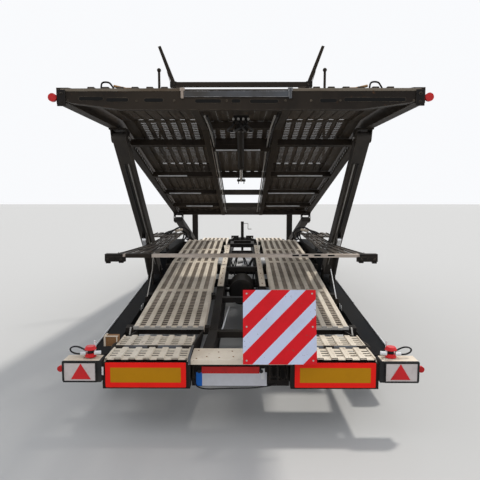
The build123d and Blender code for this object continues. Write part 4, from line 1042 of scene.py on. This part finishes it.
def lift_frame():
    """Pivots, ribs, bolts and pipes of the wings; the bar's brackets, its slots drawn as painted shade, and a
    dark box on its left end.
    """
    top, face = wing_top, bar_low.y
    pivot_x, pivot_width, pivot_s, pivot_z = 1.140, 0.050, 3.960, 1.085
    pivot_outline = [
        (3.710, top - 0.020), (pivot_s, pivot_z - 0.030), (pivot_s + 0.030, pivot_z),
        (pivot_s, pivot_z + 0.030), (3.710, top),
    ]
    pin = [(x, pivot_s, pivot_z) for x in (pivot_x - 0.006, pivot_x + pivot_width + 0.006)]
    for side, word in sides:
        piece = Piece(side).slab(pivot_x, pivot_outline, pivot_width).rod(*pin, 0.034, 24)
        piece.done(f"wing_pivot_{word}", dark, "lift_frame", edge=0.003, node="lift_wings")
        ribs, bolts = Piece(side), Piece(side)
        for s in (1.28, 1.75, 2.20, 2.75, 3.30, 3.75):
            inner, outer = wing_span(s)
            ribs.box((inner, s - 0.012, top - 0.026), (outer, s + 0.012, top - 0.014))
            bolts.bolt((inner + 0.02, s, top), upwards, 0.008).bolt((outer - 0.02, s, top), upwards, 0.008)
        ribs.done(f"wing_ribs_{word}", dark, "lift_frame")
        bolts.done(f"wing_bolts_{word}", steel, "lift_frame")
        piece = Piece(side).box((1.085, face - 0.006, 1.120), (1.249, face + 0.060, 1.162))
        for x0, x1, z0, z1 in (
            (1.060, 1.248, 1.092, 1.136), (1.080, 1.120, 1.080, 1.100), (1.200, 1.240, 1.076, 1.100),
        ):
            piece.box((x0, face - 0.012, z0), (x1, face + 0.020, z1))
        for x in (1.10, 1.16, 1.22):
            piece.bolt((x, face - 0.012, 1.114), rearwards, 0.010)
        piece.done(f"bar_bracket_{word}", dark, "lift_frame", edge=0.002)
        for i, (reach, rise) in enumerate(((0.16, 0.075), (0.10, 0.045), (0.20, 0.030))):
            x = 0.905 + 0.045 * i
            tube(f"wing_pipe_{word}_{i}", [
                (x + 0.10, 3.50, top + 0.004), (x + 0.06, 3.74, top + rise),
                (x - reach * 0.3, 3.93, top + rise), (x - reach, 3.96, top - 0.030),
                (x - reach * 0.7, 3.86, top - 0.110),
            ], 0.011, hose, "lift_frame", side=side)
        piece = Piece(side).rod((0.955, 3.70, top + 0.030), (0.880, 3.82, top + 0.045), 0.020, 18)
        piece.done(f"wing_tube_{word}", cream_paint, "lift_frame", edge=0.002)
    # Painted shade: dark plates proud of the bar stand for its slots
    slots = Piece()
    for x in (0.50, 0.585, 0.70, 0.825):
        slots.upright(oblong(x - 0.032, x + 0.032, bar_high.z - 0.009, 0.0075), face - 0.001, 0.003)
    slots.done("bar_slot_shade", shadow, "lift_frame")
    # A dark box over the left end of the bar, where the bar looks dark
    sleeve_low = (-1.062, face - 0.003, bar_low.z - 0.004)
    sleeve_high = (-0.820, face + 0.074, bar_high.z + 0.004)
    Piece().box(sleeve_low, sleeve_high).done("bar_dark_end", dark_brown, "lift_frame", edge=0.002)


# Chassis


def path_sheet(name, line, x0, x1, lift, material, side, body="chassis"):
    """A plain thin sheet along a side-view line."""
    piece = Piece(side).strip(Path(line), [x0, x1], [lift, lift])
    piece.sheet(name, material, body, "frame_paint", thick=0.002)


def track_shade_sheets():
    """Painted shade: dark sheets under the slots of the lower planks, plates and flaps, for the shade beneath
    them.
    """
    lift = 0.003
    track_x = (lower_x[0] + 0.004, lower_x[1] - 0.004)
    plate_x = (plate_inner + 0.003, plate_outer - 0.003)
    plate_line = [(plate_start + 0.004, beam_top), (plate_end - 0.002, beam_top)]
    flap_line = [(flap_start + 0.002, beam_top), (flap_end - 0.002, beam_top)]
    lines = {"rear": sloped("rear_tracks"), "hump": sloped("hump_tracks"), "front": front_line}
    for side, word in sides:
        # Each sheet is painted shade, seen only through the slots
        for name, line in lines.items():
            path_sheet(f"{name}_pan_{word}", line, *track_x, lift, shadow, side)
        path_sheet(f"plate_pan_{word}", plate_line, *plate_x, lift, shadow, side)
        path_sheet(f"flap_pan_{word}", flap_line, *plate_x, lift, shadow, side, f"rear_flap_{word}")


def track_skirts():
    """Pale inner side plates of the rear tracks, the turned lips at their rear ends and the lips' stays."""
    path = Path(sloped("rear_tracks"))
    inner, outer = lower_x
    first_rib = (inner + outer) / 2 - (rib_count - 1) / 2 * rib_pitch - rib_width / 2
    s, z = path.points[0]
    stay_outline = [
        (s - 0.010, z + 0.026), (s + 0.006, z + 0.026), (s - 0.060, z - 0.055), (s - 0.076, z - 0.055),
    ]
    for side, word in sides:
        piece = Piece(side)
        for start, stop in ((0.02, 1.05), (1.10, 2.30)):
            corners = ((start, 0.030), (stop, 0.030), (stop, -0.050), (start + 0.05, -0.085))
            outline = [path.at(distance, lift, inner - 0.003) for distance, lift in corners]
            piece.prism(outline, outwards * 0.005)
        piece.done(f"track_skirt_{word}", cream_paint, slot="track_sheet", edge=0.0015)
        piece = Piece(side).box((inner, s - 0.004, z + 0.004), (outer, s + 0.004, z + 0.024))
        for i in range(rib_count):
            x = first_rib + i * rib_pitch
            piece.box((x, s - 0.006, z + 0.016), (x + rib_width, s + 0.010, z + 0.036))
        piece.done(f"track_lip_{word}", pale_metal, slot="track_sheet", edge=0.0015)
        stay = Piece(side).slab(outer + 0.018, stay_outline, 0.012)
        stay.done(f"track_stay_{word}", pale_metal, edge=0.0015)


def spine_tops():
    """Sun-bleached dust on the spine beams' upper flanges, with bolt rows."""
    spine_line = [(2.60, 0.581), (3.60, 0.663), (5.75, 0.763)]
    path = Path(spine_line)
    for side, word in sides:
        path_sheet(f"spine_top_{word}", spine_line, 0.222, 0.298, 0.0035, cream_paint, side)
        bolts = Piece(side)
        for i in range(12):
            bolts.bolt(path.at(0.12 + i * 0.26, 0.003, 0.260), upwards, 0.008)
        bolts.done(f"spine_bolts_{word}", rusty)


def rail_details():
    """Edge strips, side lamps, reflecting strips, marks and bolts of the side rails."""
    rail_top = Path([
        (0.62, 0.390), (3.10, 0.586), (3.56, 0.600), (3.64, 0.880), (5.76, 0.880), (6.02, 0.560),
        (9.20, 0.500),
    ])
    lamp_z, hump_from, hump_to = 0.370, 3.3, 6.2
    for side, word in sides:
        piece = Piece(side)
        for start, stop in ((0.04, 0.92), (1.40, 2.40)):
            corners = ((start, 0.0), (stop, 0.0), (stop, 0.012), (start, 0.012))
            outline = [rail_top.at(distance, lift, half_width - 0.004) for distance, lift in corners]
            piece.prism(outline, outwards * 0.006)
        piece.done(f"rail_strip_{word}", strip_white, slot="pale_strip")
        piece = Piece(side)
        for s in (1.35, 1.95, 2.75, 3.15, 6.75, 7.25, 8.25, 8.65):
            piece.box((half_width - 0.0005, s - 0.11, 0.295), (half_width + 0.002, s + 0.11, 0.335))
        piece.done(f"side_strips_{word}", strip_white, slot="pale_strip")
        lamps, rims = Piece(side), Piece(side)
        for s in (0.95, 2.35, 3.45, 6.35, 7.75, 9.00):
            lamps.slab(half_width, oblong(s - 0.052, s + 0.052, lamp_z, 0.021, 6), 0.018)
            rims.slab(half_width, oblong(s - 0.064, s + 0.064, lamp_z, 0.030, 6), 0.008)
        lamps.smooth_angle = rims.smooth_angle = 35
        lamps.done(f"side_lamps_{word}", lens_amber, slot="lens", edge=0.003)
        rims.done(f"side_lamp_frames_{word}", black_plastic, slot="lamp_box", edge=0.002)
        piece = Piece(side)
        for s in (1.82, 1.90):
            outline = [(s, 0.465), (s + 0.022, 0.465), (s + 0.060, 0.515), (s + 0.038, 0.515)]
            piece.slab(1.079, outline, -0.003)
        piece.done(f"rail_marks_{word}", strip_white, slot="pale_strip")
        bolts = Piece(side)
        for s in [0.80 + i * 0.38 for i in range(22)]:
            if not hump_from < s < hump_to:
                bolts.bolt((half_width, s, 0.430 if s > 1.4 else 0.350), outwards, 0.008)
        for i in range(6):
            bolts.bolt((half_width, 3.76 + i * 0.37, 0.830), outwards, 0.010)
        bolts.done(f"rail_bolts_{word}", steel)


def stay_rods():
    """The stowed prop rods on the rails' inner sides with their ends, and a pipe along the middle."""
    x = 1.060
    for side, word, radius, material, line in (
        (1, "right", 0.006, strip_white, ((2.05, 0.545), (2.24, 0.690), (2.43, 0.828))),
        (-1, "left", 0.005, pale_metal, ((2.09, 0.560), (2.43, 0.830), (2.48, 0.965))),
    ):
        tube(f"stay_rod_{word}", [(x, s, z) for s, z in line], radius, material, side=side, smooth=False)
        foot, foot_z = line[0]
        head, head_z = line[-1]
        piece = Piece(side).box((1.046, foot - 0.022, foot_z - 0.060), (1.082, foot + 0.022, foot_z + 0.004))
        piece.rod((x, head, head_z - 0.006), (x, head, head_z + 0.014), 0.011)
        piece.done(f"stay_ends_{word}", dark, edge=0.002)
    tube("centre_pipe", [(-0.185, 1.31, 0.4), (-0.165, 1.80, 0.4), (-0.145, 2.27, 0.4)], 0.010, strip_white)


def tyre_profile(half, radius, groove):
    """A tyre's profile as (x, radius, groove depth where it is notched): five ribs between ridged walls."""
    bead = 0.225
    wall = [
        (-half + 0.022, bead, 0.0), (-half + 0.004, bead + 0.020, 0.0), (-half, bead + 0.060, 0.0),
        (-half + 0.001, radius - 0.060, 0.0), (-half + 0.006, radius - 0.030, groove),
        (-half + 0.028, radius - 0.004, groove),
    ]
    profile = wall + [(-0.066, radius - 0.001, groove)]
    for a, b in ((-0.060, -0.042), (-0.036, -0.016), (-0.010, 0.010), (0.016, 0.036), (0.042, 0.060)):
        profile += [
            (a - 0.001, radius - groove, 0.0), (a, radius, 0.0), (b, radius, 0.0),
            (b + 0.001, radius - groove, 0.0),
        ]
    return profile + [(0.066, radius - 0.001, groove)] + [(-x, r, notch) for x, r, notch in reversed(wall)]


def wheels():
    """Grooved tyres, wheel nuts, hand holes drawn as dark discs of painted shade, and valve stems."""
    half, twin_pitch, web_in, segments = 0.1025, 0.240, 0.1965, 120
    for words in wheel_words:
        side = -1 if words.endswith("left") else 1
        body = f"wheel_{words}"
        low, high = box(f"tyres_{words}")
        hub = (low + high) / 2
        outer = max(abs(low.x), abs(high.x))
        profile = tyre_profile(half, (high.z - low.z) / 2, 0.008)

        def around(x, radius, angle):
            """Point around the wheel's axle."""
            return (x, hub.y + radius * math.cos(angle), hub.z + radius * math.sin(angle))

        for i, x_mid in enumerate((outer - half, outer - half - twin_pitch)):
            tyre = Piece(side)
            rings = []
            for k in range(segments):
                notched, angle = k % 3 == 0, math.tau * k / segments
                ring = [around(x_mid + x, r - notch * notched, angle) for x, r, notch in profile]
                rings.append(tyre.vertices(ring))
            tyre.web([ring + ring[:1] for ring in rings + rings[:1]])
            tyre.smooth_angle = 40
            tyre.done(f"tyre_{words}_{i}", rubber, body, "tyre", node=f"tyres_{words}")
        web = outer - web_in
        nuts, holes = Piece(side), Piece(side)
        for k in range(10):
            nuts.bolt(around(web, 0.125, math.radians(36 * k)), outwards, 0.016)
        nuts.done(f"wheel_nuts_{words}", steel, body, "rim")
        # Painted shade: dark discs stand for the rims' hand holes
        for k in range(8):
            holes.stud(around(web - 0.001, 0.172, math.radians(45 * k + 22)), outwards, 0.019, 0.003, 16)
        holes.done(f"hand_hole_shade_{words}", shadow, body, "rim")
        stem = ((0.0, 0.150, 0.060), (0.030, 0.155, 0.062), (0.075, 0.165, 0.066))
        points = [(web + x, hub.y + ahead, hub.z + rise) for x, ahead, rise in stem]
        tube(f"valve_{words}", points, 0.004, steel, body, side)


def running_gear():
    """U-bolts and spring pads, pipes, couplings and the tank's drain under the chassis."""
    piece = Piece()
    foot, top, x0, x1 = 0.300, 0.475, 0.555, 0.635
    for side in (1, -1):
        piece.side = side
        for axle in (4.050, 5.250):
            for s in (axle - 0.055, axle + 0.055):
                piece.rod((x0, s, foot), (x0, s, top), 0.008, 10).rod((x1, s, foot), (x1, s, top), 0.008, 10)
                piece.rod((x0, s, top), (x1, s, top), 0.008, 10)
            piece.box((x0 - 0.010, axle - 0.075, 0.292), (x1 + 0.010, axle + 0.075, 0.304))
    piece.done("spring_bolts", dark)
    for i, (x, rise, drop, reach) in enumerate((
        (-0.16, 0.76, 0.50, 0.05), (-0.10, 0.70, 0.46, -0.04), (0.04, 0.74, 0.48, 0.08),
        (0.12, 0.78, 0.52, -0.06), (0.17, 0.66, 0.44, 0.02),
    )):
        tube(f"gear_pipe_{i}", [
            (x, 3.95, drop), (x + reach, 4.05, rise - 0.06), (x + reach * 2, 4.20, rise),
            (x + reach * 1.5, 4.45, rise - 0.10), (x + reach, 4.70, drop),
        ], 0.011, hose)
    piece = Piece()
    for x, s, z in ((-0.02, 4.16, 0.66), (0.05, 4.10, 0.60), (-0.07, 4.12, 0.57)):
        piece.rod((x - 0.035, s, z), (x + 0.035, s + 0.01, z + 0.01), 0.022)
        piece.rod((x - 0.045, s, z), (x - 0.030, s, z), 0.027, 6)
    piece.done("gear_couplings", steel)
    tank_low = box("air_tank")[0]
    drain_s = tank_low.y + 0.30
    drain = Piece().rod((0, drain_s, tank_low.z - 0.004), (0, drain_s, tank_low.z + 0.01), 0.016, 12)
    drain.done("tank_drain", steel)
    brake_line = (
        (0.60, 0.34), (1.20, 0.31), (2.40, 0.33), (3.20, 0.36), (3.70, 0.50), (5.60, 0.58), (6.20, 0.36),
        (8.40, 0.34),
    )
    for i, x in enumerate((-0.205, 0.205)):
        tube(f"brake_pipe_{i}", [(x, s, z) for s, z in brake_line], 0.008, hose)


def drawbar_details():
    """Coupling heads on plates beside the jack, their pipes on the drawbar's legs, and the jack's crank."""
    head_z, plate_s, leg_start, leg_slant = 0.560, 9.812, 9.290, 0.504
    face = plate_s + 0.008
    for side, word in sides:
        heads = Piece(side)
        for i, x in enumerate((0.150, 0.250)):
            heads.rod((x, face, head_z), (x, face + 0.048, head_z), 0.024)
            heads.rod((x, face + 0.048, head_z), (x, face + 0.062, head_z), 0.030)
            leg_x = 0.610 + 0.030 * (i - 0.5)
            leg = [(leg_x - leg_slant * (s - leg_start), s, 0.508) for s in (9.250, 9.400, 9.550, 9.700)]
            rise = [(x + 0.02, 9.760, 0.512), (x, 9.780, head_z), (x, face, head_z)]
            tube(f"drawbar_pipe_{word}_{i}", leg + rise, 0.008, (hose, steel)[i], side=side)
        plate = Piece(side).box((0.100, plate_s, 0.470), (0.300, face, 0.600))
        plate.done(f"coupling_plate_{word}", dark, edge=0.002)
        heads.done(f"coupling_heads_{word}", black_plastic, edge=0.002)
    jack_low, jack_high = box("jack")
    x, s = (jack_low.x + jack_high.x) / 2, (jack_low.y + jack_high.y) / 2
    z = jack_high.z - 0.05
    crank = Piece().rod((x, s, z), (x + 0.16, s, z), 0.009, 12)
    crank.rod((x + 0.155, s, z + 0.004), (x + 0.155, s, z - 0.16), 0.008, 12)
    crank.rod((x + 0.150, s, z - 0.155), (x + 0.25, s, z - 0.155), 0.012, 12)
    crank.done("jack_crank", steel)


def pin_heads():
    """Retaining washers and bolts at the arms' pins, with pipes along the rear arms."""
    foot, head = Vector((0, 3.220, 0.700)), Vector((0, 1.460, 2.250))
    pins = {"rear_arms": (foot, head), "front_arms": (Vector((0, 8.050, 0.640)),)}
    washer_x = 1.096
    for arms, centres in pins.items():
        for side, word in sides:
            piece = Piece(side)
            for centre in centres:
                pin = centre + outwards * washer_x
                piece.rod(pin + outwards * 0.004, pin, 0.042, 24).bolt(pin, inwards, 0.018)
            piece.done(f"{arms}_pins_{word}", steel, arms, edge=0.001)
    along = (head - foot).normalized()
    behind = Vector((0, -along.z, along.y))
    for side, word in sides:
        for i, x in enumerate((1.130, 1.165)):
            points = []
            for t in (0.10, 0.25, 0.45, 0.65, 0.88):
                lift = 0.072 + 0.004 * (i + (t > 0.4))
                points.append(outwards * x + foot.lerp(head, t) + behind * lift)
            tube(f"arm_pipe_{word}_{i}", points, 0.007, (steel, hose)[i], "rear_arms", side=side)


# Floor, light and camera


def is_seen(tree):
    """1 for rays by which the camera, a mirror or a glass sees, else 0."""
    rays = tree.nodes.new("ShaderNodeLightPath")
    seen = rays.outputs["Is Camera Ray"]
    for kind in ("Is Glossy Ray", "Is Transmission Ray"):
        either = tree.nodes.new("ShaderNodeMath")
        either.operation = "MAXIMUM"
        tree.links.new(seen, either.inputs[0])
        tree.links.new(rays.outputs[kind], either.inputs[1])
        seen = either.outputs[0]
    return seen


def make_stage():
    """A floor that looks pale but throws less light back."""
    mesh = bpy.data.meshes.new("floor")
    mesh.from_pydata([(-60, -40, 0), (60, -40, 0), (60, 80, 0), (-60, 80, 0)], [], [(0, 1, 2, 3)])
    floor = bpy.data.objects.new("floor", mesh)
    bpy.context.collection.objects.link(floor)
    s = Shader("floor_pale")
    tone = s.mix(is_seen(s.tree), (0.24, 0.235, 0.225), (0.48, 0.48, 0.47))
    s.links.new(tone, s.shader.inputs["Base Color"])
    s.set("Roughness", 0.9)
    mesh.materials.append(s.material)


def make_light():
    """One soft key from above, right and a little ahead, and a pale world."""
    world = bpy.data.worlds.new("pale_world")
    bpy.context.scene.world = world
    world.use_nodes = True
    tree = world.node_tree
    light, seen = tree.nodes["Background"], tree.nodes.new("ShaderNodeBackground")
    for background, colour, strength in ((light, (0.93, 0.95, 1.0), 0.98), (seen, (0.95, 0.96, 0.98), 1.0)):
        background.inputs["Color"].default_value = (*colour, 1.0)
        background.inputs["Strength"].default_value = strength
    mix = tree.nodes.new("ShaderNodeMixShader")
    tree.links.new(is_seen(tree), mix.inputs["Fac"])
    tree.links.new(light.outputs[0], mix.inputs[1])
    tree.links.new(seen.outputs[0], mix.inputs[2])
    tree.links.new(mix.outputs[0], tree.nodes["World Output"].inputs["Surface"])
    sun_data = bpy.data.lights.new("key", "SUN")
    sun_data.energy = 1.9
    sun_data.angle = math.radians(5)
    sun_data.color = (1.0, 0.96, 0.90)
    sun = bpy.data.objects.new("key", sun_data)
    bpy.context.collection.objects.link(sun)
    sun.rotation_euler = Vector((0.50, 0.35, 1.10)).to_track_quat("Z", "Y").to_euler()


def make_camera():
    """Camera at the photograph's place and angle."""
    data = bpy.data.cameras.new("camera")
    data.sensor_width = sensor_mm
    data.lens = focal_px / image_side * sensor_mm
    camera = bpy.data.objects.new("camera", data)
    bpy.context.collection.objects.link(camera)
    centre = image_side / 2
    pitch = math.atan((centre - horizon_px) / focal_px)
    turn = math.atan((vanishing_px - centre) / focal_px)
    camera.location = camera_place + station_origin
    camera.rotation_euler = (math.pi / 2 - pitch, 0.0, turn)
    bpy.context.scene.camera = camera


for build in (
    track_planks, warning_board, marker_panels, licence_plate, top_plates, lamp_details, lashing_caps,
    rusty_bracket, hinge_frames, recess_details, centre_panels, rear_beam_details, deck_cylinder,
    member_details, deck_edge_details, guard_wires, wing_planks, lift_frame, track_shade_sheets, track_skirts,
    spine_tops, rail_details, stay_rods, wheels, running_gear, drawbar_details, pin_heads, make_stage,
    make_light, make_camera,
):
    build()
bpy.context.scene.view_settings.view_transform = "Standard"
